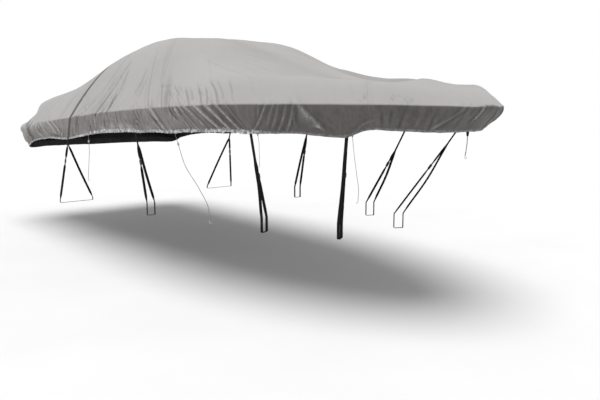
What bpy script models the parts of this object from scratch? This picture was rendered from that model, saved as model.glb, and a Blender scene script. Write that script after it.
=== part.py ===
"""Fitted boat cover of coated polyester cloth, stretched over a runabout with its tie-down straps.

Metres. x runs from stern to bow, y to port and z up. The tables below use boat coordinates:
x from the aft end of the hull side, y from the centreline and z above the ground the trailer
stands on. Every point is then shifted so that the origin lies on the underside of the cloth at
its crown, where a support pole holds the cover up.
"""
import math
from collections import namedtuple

import bpy
import numpy as np

# Cloth
SHEET = 0.002               # thickness of the cloth solids
SEAM_GAP = 0.0008           # open distance between two panels that are sewn together
LINE_SPACING = 0.088        # distance along the rub rail between two section lines
STRAP_COLUMN = 0.060        # width of the flat column of cloth each strap is sewn behind
TOP_STEPS = (0.0, 0.22, 0.44, 0.62, 0.78, 0.90, 1.0)    # spine 0 to rub rail 1
SKIRT_STEPS = (0.28, 0.55, 0.80, 1.0)                   # rub rail 0 to hem 1
FLARE_SPREAD = 1.35         # the flare has closed again at 1 / 1.35 of the skirt's depth
TUCK_POWER = 1.3

# One row for each section line, from the middle of the stern round the side to the stem.
#   rail_x, half_beam, rail_z   where the line crosses the rub rail
#   spine_x, spine_z            where the line meets the centreline
#   shoulder, shoulder_z        fraction of the way out to the rail, and the height there
#   gunwale, rise               the same for the gunwale, as a height above the rub rail
#   tuck, hem_z                 how far the hem is drawn in under the rail, and its height
#   flare                       how far the skirt bells out just under the rail
#   rake                        how far forward the skirt's threads run on their way down
Section = namedtuple(
    "Section",
    "rail_x half_beam rail_z spine_x spine_z shoulder shoulder_z gunwale rise tuck hem_z flare rake")
SECTIONS = (
    Section(-0.58, 0.000, 1.300, 0.42, 1.690, 0.50, 1.660, 0.86, 0.270, 0.03, 0.990, 0.05, 0.00),
    Section(-0.58, 0.450, 1.300, 0.47, 1.700, 0.50, 1.665, 0.86, 0.270, 0.03, 0.990, 0.05, 0.00),
    Section(-0.55, 0.820, 1.300, 0.55, 1.720, 0.50, 1.670, 0.86, 0.265, 0.02, 0.985, 0.08, 0.00),
    Section(-0.42, 1.050, 1.300, 0.66, 1.775, 0.50, 1.690, 0.87, 0.245, 0.00, 0.980, 0.12, 0.00),
    Section(-0.13, 1.135, 1.310, 0.82, 1.830, 0.52, 1.740, 0.88, 0.225, 0.03, 1.050, 0.06, -0.08),
    Section(0.50, 1.165, 1.355, 1.08, 1.945, 0.56, 1.845, 0.89, 0.185, 0.05, 1.130, 0.01, -0.14),
    Section(1.42, 1.180, 1.420, 1.42, 2.065, 0.58, 2.010, 0.90, 0.175, 0.05, 1.180, 0.00, -0.16),
    Section(2.10, 1.185, 1.470, 1.62, 2.125, 0.58, 2.085, 0.90, 0.160, 0.07, 1.275, 0.00, -0.06),
    Section(2.80, 1.185, 1.510, 1.84, 2.165, 0.58, 2.135, 0.90, 0.155, 0.09, 1.315, 0.00, 0.00),
    Section(3.52, 1.165, 1.540, 2.12, 2.225, 0.60, 2.105, 0.90, 0.155, 0.09, 1.325, 0.00, 0.00),
    Section(4.10, 1.100, 1.555, 2.68, 2.240, 0.60, 1.990, 0.90, 0.155, 0.10, 1.345, 0.00, 0.00),
    Section(4.65, 0.980, 1.560, 3.42, 2.075, 0.60, 1.800, 0.90, 0.165, 0.11, 1.355, 0.00, 0.00),
    Section(5.15, 0.810, 1.565, 4.18, 1.845, 0.60, 1.720, 0.90, 0.145, 0.12, 1.340, 0.00, 0.00),
    Section(5.55, 0.610, 1.565, 4.82, 1.735, 0.60, 1.695, 0.90, 0.115, 0.13, 1.370, 0.00, 0.00),
    Section(5.79, 0.400, 1.560, 5.08, 1.735, 0.60, 1.705, 0.90, 0.080, 0.14, 1.370, 0.02, 0.00),
    Section(5.92, 0.200, 1.560, 5.25, 1.745, 0.60, 1.695, 0.90, 0.060, 0.16, 1.375, 0.02, 0.00),
    Section(5.97, 0.000, 1.560, 5.36, 1.755, 0.60, 1.675, 0.90, 0.050, 0.18, 1.380, 0.02, 0.00),
)
MIRRORED_ROWS = 3           # rows repeated past each end, so the outline crosses the centreline square

CROWN_RAIL_X = 3.88         # the section line whose spine point is the crown of the cover

# Seams, by where they cross the rub rail, and the panels they part
SEAMS = (1.40, 3.40, 5.45)
PANELS = ("panel_stern", "panel_aft", "panel_fore", "panel_bow")

# The main folds, each a ridge (or a trough, where height is negative) along a straight line on
# the cloth. run is measured along the rub rail from the middle of the stern, and drop down the
# cloth from the rub rail, so that a negative drop is on the top.
Fold = namedtuple("Fold", "side run drop end_run end_drop width height")
FOLDS = (
    Fold("both", 1.74, -0.10, 2.46, 0.18, 0.07, 0.018),
    Fold("both", 1.40, -0.08, 2.10, 0.20, 0.07, 0.016),
    Fold("both", 3.86, -0.60, 3.73, -0.03, 0.08, -0.012),
    Fold("both", 3.54, -0.60, 3.24, -0.03, 0.08, 0.012),
    Fold("starboard", 4.10, -0.50, 3.94, -0.02, 0.06, 0.012),
    Fold("starboard", 4.52, -0.36, 4.72, -0.02, 0.06, 0.014),
    Fold("starboard", 4.76, -0.02, 4.99, 0.20, 0.06, 0.020),
    Fold("port", 4.36, -0.44, 4.50, 0.17, 0.07, 0.013),
    Fold("both", 5.08, -0.17, 5.02, -0.01, 0.07, -0.012),
    Fold("starboard", 5.28, 0.02, 5.57, 0.20, 0.06, 0.016),
    Fold("starboard", 5.50, 0.02, 5.78, 0.20, 0.06, 0.016),
    Fold("port", 5.40, 0.02, 5.62, 0.20, 0.06, 0.014),
    Fold("both", 6.24, 0.01, 6.08, 0.19, 0.06, 0.014),
    Fold("starboard", 6.50, 0.02, 6.66, 0.16, 0.06, 0.016),
    Fold("port", 6.60, 0.02, 6.50, 0.18, 0.06, 0.012),
    Fold("both", 7.84, 0.01, 7.62, 0.17, 0.06, 0.014),
)
TOP_GIRTH = 1.25            # cloth length that one unit of reach stands for, on the top
SKIRT_GIRTH = 0.25          # and on the skirt

# Tie-down straps. hem_run is where the strap is sewn to the hem, fork how far below the hem its
# two runs part, and the rest where it goes round the trailer: the middle of the rail's top, its
# width and height, and how far it turns inboard. buckle_drop is measured from the fork.
WEBBING = 0.025
WEBBING_THICKNESS = 0.0018
STRAP_SEWN = 0.034          # height of strap that lies behind the hem
STRAP_BELOW = 0.003         # how far it runs straight on below the hem
CLEARANCE = 0.0006          # between the hem and the strap sewn behind it
Strap = namedtuple(
    "Strap", "hem_run fork rail_x rail_y rail_z width height turn_deg buckle_run buckle_drop")
STRAPS = (
    Strap(2.80, 0.06, 1.00, 1.005, 0.450, 0.39, 0.030, 0.0, "outer", 0.20),
    Strap(4.32, 0.12, 2.78, 0.940, 0.610, 0.08, 0.125, 0.0, "outer", 0.19),
    Strap(6.00, 0.24, 4.24, 0.640, 0.625, 0.08, 0.125, 23.0, "inner", 0.16),
    Strap(6.85, 0.12, 4.86, 0.350, 0.630, 0.08, 0.125, 29.0, "inner", 0.25),
)
CORNER = 0.008              # bend radius of the webbing at the rail's corners
STRAP_RUNS = {"outer": (1, 2), "inner": (12, 11)}   # a run's upper and lower end on the path
BUCKLE = (0.036, 0.011, 0.048)      # width, depth and length
BUCKLE_SLOT = (0.0262, 0.0040)      # the opening the webbing runs through

# Thin cords with a cord lock near the hem and a hook at the lower end
CORD_RADIUS = 0.0025
CORD_GAP = 0.0003           # between a cord's end and its hook
HEM_GAP = 0.0014            # between the hem and the top of a cord
Cord = namedtuple("Cord", "hem_run lock_drop route")
CORDS = (
    Cord(3.36, 0.070, ((1.770, 1.130, 1.080), (1.763, 1.140, 0.920), (1.755, 1.150, 0.775))),
    Cord(5.06, 0.105, ((3.62, 1.030, 1.05), (3.74, 0.955, 0.83), (3.81, 0.915, 0.67),
                       (3.81, 0.910, 0.57))),
)
LOCK_RADIUS = 0.009
LOCK_LENGTH = 0.026
HOOK_WIRE = 0.002
HOOK_RADIUS = 0.010
HOOK_SHANK = 0.022

# Tie at the stem
BOW_TAB = (0.018, 0.034, 0.012)     # the webbing loop's width, drop and breadth of its webbing
BOW_CORD_RADIUS = 0.003
BOW_CORD_END = (5.775, 0.0, 1.215)

ROUND_STEPS = 12
MIRROR = {"starboard": np.array([1.0, 1.0, 1.0]), "port": np.array([1.0, -1.0, 1.0]),
          "centre": np.array([1.0, 0.0, 1.0])}


def clear_scene():
    for item in list(bpy.data.objects):
        bpy.data.objects.remove(item, do_unlink=True)


def make_material(name, colour, roughness, metallic=0.0):
    material = bpy.data.materials.new(name)
    material.use_nodes = True
    shader = material.node_tree.nodes["Principled BSDF"]
    shader.inputs["Base Color"].default_value = (*colour, 1.0)
    shader.inputs["Roughness"].default_value = roughness
    shader.inputs["Metallic"].default_value = metallic
    material.diffuse_color = (*colour, 1.0)
    return material


def smooth_curve(stops, values, where):
    """Cubic curve through (stops, values), with the slope at each stop taken from its neighbours."""
    where = np.asarray(where, float)
    step = np.diff(stops)
    slope = np.diff(values) / step
    tangent = np.empty(len(stops))
    tangent[1:-1] = (slope[:-1] * step[1:] + slope[1:] * step[:-1]) / (step[:-1] + step[1:])
    tangent[0], tangent[-1] = slope[0], slope[-1]
    k = np.clip(np.searchsorted(stops, where, side="right") - 1, 0, len(stops) - 2)
    return hermite((where - stops[k]) / step[k], step[k], values[k], values[k + 1],
                   tangent[k], tangent[k + 1])


def hermite(t, step, low, high, low_slope, high_slope):
    return ((2 * t**3 - 3 * t**2 + 1) * low + (t**3 - 2 * t**2 + t) * step * low_slope
            + (3 * t**2 - 2 * t**3) * high + (t**3 - t**2) * step * high_slope)


def mirrored_table():
    """The section table with its end rows repeated across the centreline, one array a column."""
    rows = np.array(SECTIONS, float)
    aft = rows[1:MIRRORED_ROWS + 1][::-1].copy()
    fore = rows[-MIRRORED_ROWS - 1:-1][::-1].copy()
    beam = Section._fields.index("half_beam")
    aft[:, beam] *= -1
    fore[:, beam] *= -1
    table = np.vstack([aft, rows, fore])
    return {name: table[:, k] for k, name in enumerate(Section._fields)}


TABLE = mirrored_table()
RUNS = np.concatenate([[0.0], np.cumsum(np.hypot(np.diff(TABLE["rail_x"]),
                                                 np.diff(TABLE["half_beam"])))])
RUNS -= RUNS[MIRRORED_ROWS]
STEM_RUN = RUNS[-MIRRORED_ROWS - 1]


def column(name, run):
    return smooth_curve(RUNS, TABLE[name], run)


def run_at(rail_x):
    """Distance along the rub rail, from the middle of the stern, to where it reaches rail_x."""
    side = slice(MIRRORED_ROWS + 2, len(RUNS) - MIRRORED_ROWS)
    return float(np.interp(rail_x, TABLE["rail_x"][side], RUNS[side]))


def outward(run):
    """Level unit vector out of the rub rail, as x and starboard parts."""
    step = 1e-4
    along_x = column("rail_x", run + step) - column("rail_x", run - step)
    along_b = column("half_beam", run + step) - column("half_beam", run - step)
    length = np.hypot(along_x, along_b)
    return -along_b / length, along_x / length


def top_height(run, reach):
    """Height of the cloth between spine (reach 0) and rub rail (reach 1)."""
    rail_z = column("rail_z", run)
    shoulder = column("shoulder", run)
    stops = (-shoulder, 0 * run, shoulder, column("gunwale", run), 0 * run + 1)
    heights = (column("shoulder_z", run), column("spine_z", run), column("shoulder_z", run),
               rail_z + column("rise", run), rail_z)
    step = [stops[k + 1] - stops[k] for k in range(4)]
    slope = [(heights[k + 1] - heights[k]) / step[k] for k in range(4)]
    tangent = [slope[0]] + [(slope[k - 1] * step[k] + slope[k] * step[k - 1])
                            / (step[k - 1] + step[k]) for k in (1, 2, 3)] + [slope[3]]
    height = np.zeros_like(reach)
    for k in (1, 2, 3):
        piece = hermite((reach - stops[k]) / step[k], step[k], heights[k], heights[k + 1],
                        tangent[k], tangent[k + 1])
        height = np.where((reach >= stops[k]) & (reach <= stops[k + 1]), piece, height)
    return height


def cover_point(run, reach):
    """Point of the smooth cover: reach 0 at the spine, 1 at the rub rail and 2 at the hem."""
    run, reach = np.broadcast_arrays(np.asarray(run, float), np.asarray(reach, float))
    out_x, out_b = outward(run)
    across = np.clip(reach, 0, 1)
    down = np.clip(reach - 1, 0, 1)
    belly = np.sin(np.pi * np.clip(down * FLARE_SPREAD, 0, 1))
    out = column("flare", run) * belly - column("tuck", run) * down**TUCK_POWER
    spine_x = column("spine_x", run)
    x = spine_x + (column("rail_x", run) - spine_x) * across + out_x * out
    x = x + column("rake", run) * down
    beam = column("half_beam", run) * across + out_b * out
    rail_z = column("rail_z", run)
    z = np.where(reach > 1, rail_z + (column("hem_z", run) - rail_z) * down,
                 top_height(run, across))
    return np.stack([x, -beam, z], axis=-1)


ORIGIN = cover_point(run_at(CROWN_RAIL_X), 0.0) - np.array([0.0, 0.0, SHEET])


def fold_height(side, run, reach):
    """How far the folds on one side lift the cloth at a place."""
    drop = np.where(reach > 1, (reach - 1) * SKIRT_GIRTH, (reach - 1) * TOP_GIRTH)
    lift = np.zeros_like(run)
    for fold in FOLDS:
        if fold.side not in (side, "both"):
            continue
        along = np.array([fold.end_run - fold.run, fold.end_drop - fold.drop])
        length = float(np.hypot(*along))
        along /= length
        aside_run = run - fold.run
        aside_drop = drop - fold.drop
        t = (aside_run * along[0] + aside_drop * along[1]) / length
        off = aside_run * along[1] - aside_drop * along[0]
        taper = np.clip(4 * np.clip(t, 0, 1) * (1 - np.clip(t, 0, 1)), 0, 1) ** 0.5
        lift = lift + fold.height * np.exp(-(off / fold.width) ** 2) * taper
    return lift


def line_runs(start, end):
    """Section lines of a panel from seam to seam, with one column centred on each strap."""
    stops = [start, end]
    for strap in STRAPS:
        if start < strap.hem_run < end:
            stops += [strap.hem_run - STRAP_COLUMN / 2, strap.hem_run + STRAP_COLUMN / 2]
    stops.sort()
    runs = [start]
    for low, high in zip(stops, stops[1:]):
        count = max(1, round((high - low) / LINE_SPACING))
        runs += list(np.linspace(low, high, count + 1)[1:])
    return np.array(runs)


def seam_shift(run, reach, way):
    """Move that takes a seam's edge half the open distance away from the seam's own line."""
    here = cover_point(run, reach)
    step = cover_point(run + way * 1e-4, reach) - here
    line = unit(cover_point(run, min(reach + 1e-3, 2)) - cover_point(run, max(reach - 1e-3, 0)))
    aside = step - line * np.dot(step, line)
    return step * (SEAM_GAP / 2) / np.linalg.norm(aside)


def triangles(points, faces):
    """The faces with each quad split along its shorter diagonal.

    Both sides of a sheet then bend along the same lines, so a warped quad keeps its thickness.
    """
    split = []
    for face in faces:
        if len(face) == 3:
            split.append(face)
            continue
        a, b, c, d = face
        if np.linalg.norm(points[a] - points[c]) <= np.linalg.norm(points[b] - points[d]):
            split += [[a, b, c], [a, c, d]]
        else:
            split += [[a, b, d], [b, c, d]]
    return split


def sheet_object(name, points, faces, normals, material):
    """Closed sheet: the outer faces, the same faces one thickness inside, and a wall at each edge."""
    count = len(points)
    faces = triangles(points, faces)
    inner = points - normals * SHEET
    vertices = np.vstack([points, inner])
    edges = {}
    for face in faces:
        for a, b in zip(face, face[1:] + face[:1]):
            edges[(a, b)] = True
    polygons = [list(face) for face in faces]
    polygons += [[v + count for v in reversed(face)] for face in faces]
    polygons += [[b, a, a + count, b + count] for a, b in edges if (b, a) not in edges]
    return mesh_object(name, vertices, polygons, material)


def mesh_object(name, vertices, polygons, material, smooth=False):
    mesh = bpy.data.meshes.new(name)
    mesh.from_pydata([tuple(map(float, v)) for v in vertices], [], polygons)
    mesh.materials.append(material)
    if smooth:
        mesh.shade_smooth()
        mesh.set_sharp_from_angle(angle=math.radians(35))
    item = bpy.data.objects.new(name, mesh)
    bpy.context.collection.objects.link(item)
    return item


def unit(vector):
    vector = np.asarray(vector, float)
    return vector / np.linalg.norm(vector, axis=-1, keepdims=True)


def corner_normals(points, faces):
    """Normal at each point, as the mean of the faces round it, weighted by their area."""
    total = np.zeros_like(points)
    for face in faces:
        corner = points[face]
        area = np.zeros(3)
        for k in range(1, len(face) - 1):
            area += np.cross(corner[k] - corner[0], corner[k + 1] - corner[0])
        total[face] += area
    return unit(total)


def panel_faces(runs, reaches):
    """The places of one panel's corners, as line, step and side, and its faces.

    The two sides share the spine, and share the whole line where a panel ends on the centreline.
    """
    places = {}
    order = []

    def corner(line, step, side):
        on_centre = step == 0 or runs[line] <= 0 or runs[line] >= STEM_RUN
        place = (line, step, "centre" if on_centre else side)
        if place not in places:
            places[place] = len(order)
            order.append(place)
        return places[place]

    faces = []
    for side in ("starboard", "port"):
        for line in range(len(runs) - 1):
            for step in range(len(reaches) - 1):
                ring = [corner(line, step, side), corner(line, step + 1, side),
                        corner(line + 1, step + 1, side), corner(line + 1, step, side)]
                ring = [v for k, v in enumerate(ring) if v != ring[k - 1]]
                faces.append(ring if side == "starboard" else ring[::-1])
    return order, faces


def panel_points(runs, reaches, order):
    """Smooth points of the corners, how far the folds lift each, and which lie on the centreline."""
    run = np.array([runs[line] for line, _, _ in order])
    reach = np.array([reaches[step] for _, step, _ in order])
    port = np.array([side == "port" for _, _, side in order])
    centre = np.array([side == "centre" for _, _, side in order])
    points = cover_point(run, reach)
    points[port, 1] *= -1
    points[centre, 1] = 0.0
    lift = np.where(port, fold_height("port", run, reach), fold_height("starboard", run, reach))
    return points, np.where(centre, 0.0, lift), centre


def build_panels(material):
    """The four panels, cut from one cover so that neighbours meet with the same slope."""
    reaches = np.array(list(TOP_STEPS) + [1 + step for step in SKIRT_STEPS])
    ends = [0.0] + [run_at(x) for x in SEAMS] + [STEM_RUN]
    spans = [line_runs(a, b) for a, b in zip(ends, ends[1:])]
    whole = np.concatenate([spans[0]] + [span[1:] for span in spans[1:]])
    order, faces = panel_faces(whole, reaches)
    points, lift, centre = panel_points(whole, reaches, order)
    points = points + corner_normals(points, faces) * lift[:, None]
    normals = corner_normals(points, faces)
    normals[centre, 1] = 0.0
    normals = unit(normals)
    index = {place: k for k, place in enumerate(order)}
    first = 0
    for name, span in zip(PANELS, spans):
        own_order, own_faces = panel_faces(span, reaches)
        own = [index[(line + first, step, side)] for line, step, side in own_order]
        place = points[own].copy()
        for k, (line, step, side) in enumerate(own_order):
            way = {0: 1, len(span) - 1: -1}.get(line, 0)
            at_end = span[line] <= 0 or span[line] >= STEM_RUN
            if way and not at_end:
                shift = seam_shift(span[line], reaches[step], way)
                place[k] += shift * MIRROR[side]
        sheet_object(name, place - ORIGIN, own_faces, normals[own], material)
        first += len(span) - 1


def hem_frame(run, side):
    """Middle of the hem's edge behind a strap, with the ways out, along and up the cloth there."""
    half = STRAP_COLUMN / 2
    low = [cover_point(run + step, 2.0) for step in (-half, half)]
    high = [cover_point(run + step, 1.0 + SKIRT_STEPS[-2]) for step in (-half, half)]
    edge = (low[0] + low[1]) / 2
    along = unit(low[1] - low[0])
    out = unit(np.cross(along, (high[0] + high[1]) / 2 - edge))
    up = np.cross(out, along)
    flip = MIRROR[side]
    return edge * flip, out * flip, along * flip, up * flip


def band_object(name, points, across, width, thickness, material):
    """Closed loop of webbing: across gives the way of its width at each point of its path."""
    ahead = np.roll(points, -1, axis=0)
    behind = np.roll(points, 1, axis=0)
    tangent = unit(unit(ahead - points) + unit(points - behind))
    across = unit(across - tangent * np.sum(across * tangent, axis=1, keepdims=True))
    through = np.cross(tangent, across)
    corners = [points + across * (a * width / 2) + through * (b * thickness / 2)
               for a, b in ((-1, -1), (1, -1), (1, 1), (-1, 1))]
    vertices = np.stack(corners, axis=1).reshape(-1, 3)
    polygons = []
    for k in range(len(points)):
        here, there = 4 * k, 4 * ((k + 1) % len(points))
        for edge in range(4):
            other = (edge + 1) % 4
            polygons.append([here + edge, here + other, there + other, there + edge])
    return mesh_object(name, vertices - ORIGIN, polygons, material)


def rounded(path, radius, steps=3):
    """Flat path through corners given as out, up and whether the corner is rounded."""
    result = []
    for k, (out, up, bend) in enumerate(path):
        here = np.array([out, up])
        if not bend:
            result.append(here)
            continue
        before = np.array(path[k - 1][:2]) - here
        after = np.array(path[(k + 1) % len(path)][:2]) - here
        start = here + unit(before) * radius
        end = here + unit(after) * radius
        for step in range(steps + 1):
            t = step / steps
            result.append((1 - t)**2 * start + 2 * t * (1 - t) * here + t**2 * end)
    return result


def strap_path(strap, side):
    """Centre line of one strap and the way of its width, from the hem round the rail and back."""
    edge, out, along, up = hem_frame(strap.hem_run, side)
    mirror = -1.0 if side == "starboard" else 1.0
    turn = math.radians(strap.turn_deg)
    rail_along = np.array([math.cos(turn), -mirror * math.sin(turn), 0.0])
    rail_out = np.array([math.sin(turn), mirror * math.cos(turn), 0.0])
    rail = np.array([strap.rail_x, mirror * strap.rail_y, strap.rail_z])
    half = WEBBING_THICKNESS / 2
    pitch = half + 0.0004
    top = edge - out * (SHEET + CLEARANCE + pitch + half)
    lead = top - up * STRAP_BELOW
    foot = rail[2] - strap.height - half
    side_out = strap.width / 2 + half
    corners = [(side_out, rail[2], False), (side_out, foot, True), (-side_out, foot, True),
               (-side_out, rail[2], False)]
    fork = lead + unit(rail - lead) * strap.fork
    points = [lead + out * pitch, fork + rail_out * pitch]
    points += [np.array([rail[0], rail[1], level]) + rail_out * out_by
               for out_by, level in rounded(corners, CORNER)]
    points += [fork - rail_out * pitch, lead - out * pitch]
    near_fork = along * 0.8 + rail_along * 0.2
    widths = [along, near_fork] + [rail_along] * (len(points) - 4) + [near_fork, along]
    for out_by, level in ((-pitch, 0.4), (-pitch, 1.0), (0.0, 1.0), (pitch, 1.0), (pitch, 0.4)):
        crown = pitch if out_by == 0.0 else 0.0
        points.append(top + up * (level * STRAP_SEWN + crown) + out * out_by)
        widths.append(along)
    return np.array(points), np.array(widths)


def build_straps(webbing, plastic):
    for side in ("starboard", "port"):
        for number, strap in enumerate(STRAPS, start=1):
            points, widths = strap_path(strap, side)
            band_object(f"strap_{side}_{number}", points, widths, WEBBING, WEBBING_THICKNESS,
                        webbing)
            build_buckle(f"buckle_{side}_{number}", strap, side, plastic)


def build_buckle(name, strap, side, material):
    """Side-release buckle as a sleeve round one run of the strap."""
    points, widths = strap_path(strap, side)
    top, bottom = STRAP_RUNS[strap.buckle_run]
    upper, lower = points[top], points[bottom]
    down = unit(lower - upper)
    share = strap.buckle_drop / np.linalg.norm(lower - upper)
    centre = upper + (lower - upper) * share
    across = unit(widths[top] * (1 - share) + widths[bottom] * share)
    across = unit(across - down * np.dot(across, down))
    through = np.cross(down, across)
    width, depth, length = BUCKLE
    slot_width, slot_depth = BUCKLE_SLOT
    outline = ((-0.5, -0.5), (0.5, -0.5), (0.5, 0.5), (-0.5, 0.5))
    vertices = []
    for level, swell in ((-0.5, 0.86), (-0.30, 1.0), (0.30, 1.0), (0.5, 0.86)):
        for a, b in outline:
            vertices.append(centre + down * (level * length) + across * (a * width * swell)
                            + through * (b * depth * swell))
    for level in (-0.5, 0.5):
        for a, b in outline:
            vertices.append(centre + down * (level * length) + across * (a * slot_width)
                            + through * (b * slot_depth))
    polygons = []
    for ring in range(3):
        for k in range(4):
            a, b = 4 * ring + k, 4 * ring + (k + 1) % 4
            polygons.append([a, b, b + 4, a + 4])
    for k in range(4):
        nxt = (k + 1) % 4
        polygons.append([16 + nxt, 16 + k, 20 + k, 20 + nxt])
        polygons.append([nxt, k, 16 + k, 16 + nxt])
        polygons.append([12 + k, 12 + nxt, 20 + nxt, 20 + k])
    mesh_object(name, np.array(vertices) - ORIGIN, polygons, material)


def smooth_route(points, spacing):
    """Points at even spacing along a smooth curve through the route's own points."""
    points = np.asarray(points, float)
    chord = np.concatenate([[0.0], np.cumsum(np.linalg.norm(np.diff(points, axis=0), axis=1))])
    fine = np.linspace(0, chord[-1], 400)
    curve = np.stack([smooth_curve(chord, points[:, k], fine) for k in range(3)], axis=1)
    length = np.concatenate([[0.0], np.cumsum(np.linalg.norm(np.diff(curve, axis=0), axis=1))])
    count = max(4, round(length[-1] / spacing))
    even = np.linspace(0, length[-1], count + 1)
    return np.stack([np.interp(even, length, curve[:, k]) for k in range(3)], axis=1)


def tube_object(name, points, radius, material, radii=None, resolution=2):
    """Curve with a round bevel and closed ends."""
    data = bpy.data.curves.new(name, "CURVE")
    data.dimensions = "3D"
    data.bevel_depth = radius
    data.bevel_resolution = resolution
    data.use_fill_caps = True
    spline = data.splines.new("POLY")
    spline.points.add(len(points) - 1)
    for k, point in enumerate(points):
        spline.points[k].co = (*map(float, point - ORIGIN), 1.0)
        spline.points[k].radius = 1.0 if radii is None else radii[k]
    data.materials.append(material)
    item = bpy.data.objects.new(name, data)
    bpy.context.collection.objects.link(item)
    return item


def cord_route(cord, side):
    """Route of a thin cord from just under the hem to its hook."""
    mirror = -1.0 if side == "starboard" else 1.0
    edge, out, _, _ = hem_frame(cord.hem_run, side)
    start = edge - out * (SHEET / 2) - np.array([0.0, 0.0, HEM_GAP])
    rest = [np.array([x, mirror * y, z]) for x, y, z in cord.route]
    first = rest[0] - start
    lock = start + unit(first) * cord.lock_drop
    return np.array([start, lock] + rest), lock, unit(first)


def build_cords(cord_material, lock_material, metal):
    for side in ("starboard", "port"):
        for number, cord in enumerate(CORDS, start=1):
            route, lock, way = cord_route(cord, side)
            points = smooth_route(route, 0.030)
            tube_object(f"cord_{side}_{number}", points, CORD_RADIUS, cord_material)
            build_lock(f"cord_lock_{side}_{number}", lock, way, lock_material)
            build_hook(f"hook_{side}_{number}", points[-1], unit(points[-1] - points[-2]),
                       side, metal)


def build_lock(name, centre, way, material):
    """Barrel cord lock: a turned ring round the cord."""
    bore = CORD_RADIUS + 0.0008
    half = LOCK_LENGTH / 2
    profile = ((bore, -half), (LOCK_RADIUS * 0.8, -half), (LOCK_RADIUS, -half * 0.7),
               (LOCK_RADIUS, half * 0.7), (LOCK_RADIUS * 0.8, half), (bore, half))
    first = unit(np.cross(way, [1.0, 0.0, 0.0]))
    second = np.cross(way, first)
    vertices = []
    for k in range(ROUND_STEPS):
        angle = 2 * math.pi * k / ROUND_STEPS
        spoke = first * math.cos(angle) + second * math.sin(angle)
        vertices += [centre + spoke * radius + way * level for radius, level in profile]
    size = len(profile)
    polygons = []
    for k in range(ROUND_STEPS):
        nxt = (k + 1) % ROUND_STEPS
        for j in range(size):
            up = (j + 1) % size
            polygons.append([size * k + j, size * k + up, size * nxt + up, size * nxt + j])
    mesh_object(name, np.array(vertices) - ORIGIN, [p[::-1] for p in polygons], material,
                smooth=True)


def build_hook(name, end, way, side, material, radius=HOOK_RADIUS):
    """Wire hook: a ferrule that takes the cord's end, a shank and a turn inboard."""
    inboard = np.array([0.0, 1.0 if side == "starboard" else -1.0, 0.0])
    start = end + way * CORD_GAP
    points = [start, start + way * 0.012, start + way * 0.0125, start + way * HOOK_SHANK]
    radii = [2.2, 2.2, 1.0, 1.0]
    centre = points[-1] + inboard * radius
    for step in range(1, 9):
        angle = math.pi * 1.15 * step / 8
        points.append(centre - inboard * (radius * math.cos(angle))
                      + way * (radius * math.sin(angle)))
        radii.append(1.0)
    tube_object(name, points, HOOK_WIRE, material, radii)


def build_bow_tie(webbing, cord_material, metal):
    """Webbing loop sewn under the stem of the cover, with the cord that goes to the winch."""
    edge = cover_point(STEM_RUN, 2.0)
    edge[1] = 0.0
    width, drop, breadth = BOW_TAB
    half = WEBBING_THICKNESS / 2
    top = edge - np.array([breadth / 4, 0.0, CORD_GAP])
    lower = width / 4
    path = ((-width / 2, 0.0), (-lower, -drop + 0.004), (-lower / 2, -drop),
            (lower / 2, -drop), (lower, -drop + 0.004), (width / 2, 0.0))
    points = np.array([top + np.array([0.0, y, z - half]) for y, z in path])
    band_object("bow_loop", points, np.tile([1.0, 0.0, 0.0], (len(points), 1)), breadth,
                WEBBING_THICKNESS, webbing)
    start = top - np.array([0.0, 0.0, drop + 2 * half + CORD_GAP])
    end = np.array(BOW_CORD_END)
    middle = (start + end) / 2 + np.array([0.003, 0.0, 0.0])
    route = smooth_route([start, middle, end], 0.018)
    tube_object("bow_cord", route, BOW_CORD_RADIUS, cord_material)
    build_hook("bow_hook", route[-1], unit(route[-1] - route[-2]), "starboard", metal)


def main():
    clear_scene()
    cloth = make_material("cover_cloth", (0.40, 0.39, 0.385), 0.85)
    webbing = make_material("black_webbing", (0.012, 0.012, 0.013), 0.8)
    plastic = make_material("black_plastic", (0.015, 0.015, 0.016), 0.45)
    cord = make_material("grey_cord", (0.20, 0.20, 0.21), 0.8)
    lock = make_material("grey_plastic", (0.42, 0.42, 0.43), 0.5)
    metal = make_material("galvanised_wire", (0.55, 0.56, 0.57), 0.4, 1.0)
    build_panels(cloth)
    build_straps(webbing, plastic)
    build_cords(cord, lock, metal)
    build_bow_tie(webbing, cord, metal)


main()
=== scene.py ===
import math
from collections import namedtuple

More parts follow.
